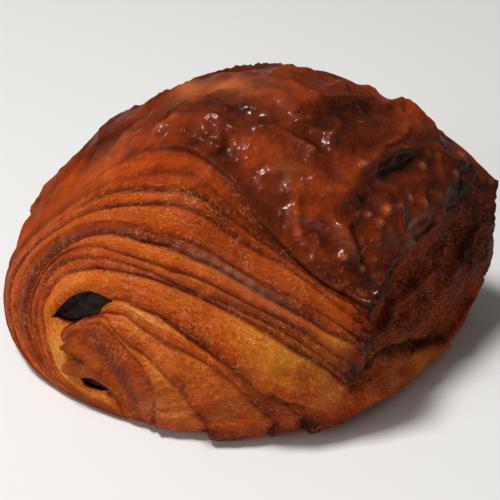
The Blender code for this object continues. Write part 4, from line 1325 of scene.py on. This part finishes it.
def chocolate_material():
    """Dull dark chocolate with a dry grain."""
    material, tree, shader = new_material("baked_chocolate")
    shader.inputs["Base Color"].default_value = (0.022, 0.011, 0.008, 1.0)
    shader.inputs["Roughness"].default_value = 0.62
    shader.inputs["Specular IOR Level"].default_value = 0.1
    grain = node(tree, "ShaderNodeTexNoise", Scale=700.0, Detail=4.0)
    tree.links.new(node(tree, "ShaderNodeTexCoord").outputs["Object"], grain.inputs["Vector"])
    ramp = node(tree, "ShaderNodeValToRGB")
    low, high = ramp.color_ramp.elements
    low.position, low.color = 0.3, (0.012, 0.006, 0.005, 1.0)
    high.position, high.color = 0.75, (0.05, 0.028, 0.02, 1.0)
    tree.links.new(grain.outputs["Fac"], ramp.inputs["Fac"])
    tree.links.new(ramp.outputs["Color"], shader.inputs["Base Color"])
    bump = node(tree, "ShaderNodeBump", Strength=0.7, Distance=0.0006)
    tree.links.new(grain.outputs["Fac"], bump.inputs["Height"])
    tree.links.new(bump.outputs["Normal"], shader.inputs["Normal"])
    return material


def dress(piece, replaced, material):
    """Gives a piece its material and body, and hides the solid that it stands for."""
    piece.data.materials.append(material)
    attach(piece, "root")
    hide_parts(replaced)


dress(build_crust(), "pastry", crust_material())
dark = chocolate_material()
for name, baton in BATONS.items():
    dress(make_object(name + "_bar", *rough_bar(baton)), name, dark)


def setting():
    """Pale floor, soft studio light and the photograph's camera."""
    bpy.ops.mesh.primitive_plane_add(size=6.0, location=(0, 0, 0))
    floor = bpy.context.object
    floor.name = "floor"
    pale, _, shader = new_material("pale_floor")
    shader.inputs["Base Color"].default_value = (0.72, 0.71, 0.69, 1)
    shader.inputs["Roughness"].default_value = 0.8
    floor.data.materials.append(pale)
    world = bpy.data.worlds.new("studio")
    world.use_nodes = True
    world.node_tree.nodes["Background"].inputs["Color"].default_value = (1.0, 0.99, 0.97, 1)
    world.node_tree.nodes["Background"].inputs["Strength"].default_value = 0.15
    bpy.context.scene.world = world
    aim = (np.array(AIM)+shift_to_frame())*MM

    def lamp(name, direction, distance, size, watts):
        data = bpy.data.lights.new(name, "AREA")
        data.shape = "RECTANGLE"
        data.size, data.size_y = size
        data.energy = watts
        light = bpy.data.objects.new(name, data)
        way = Vector(direction).normalized()
        light.location = Vector(aim)+way*distance
        light.rotation_euler = way.to_track_quat("Z", "Y").to_euler()
        bpy.context.collection.objects.link(light)

    lamp("key", (-0.25, -0.25, 0.94), 0.8, (0.17, 0.17), 6.8)
    lamp("fill", (-0.4, -0.8, 0.4), 1.0, (0.6, 0.4), 2.6)
    data = bpy.data.cameras.new("camera")
    data.sensor_width = SENSOR
    data.lens = FOCAL_PX/FRAME_PX*SENSOR
    camera = bpy.data.objects.new("camera", data)
    eye, _, ahead, _ = camera_rays()
    camera.location = Vector((eye+shift_to_frame())*MM)
    camera.rotation_euler = Vector(-ahead).to_track_quat("Z", "Y").to_euler()
    bpy.context.collection.objects.link(camera)
    bpy.context.scene.camera = camera
    bpy.context.scene.view_settings.view_transform = "Standard"


setting()
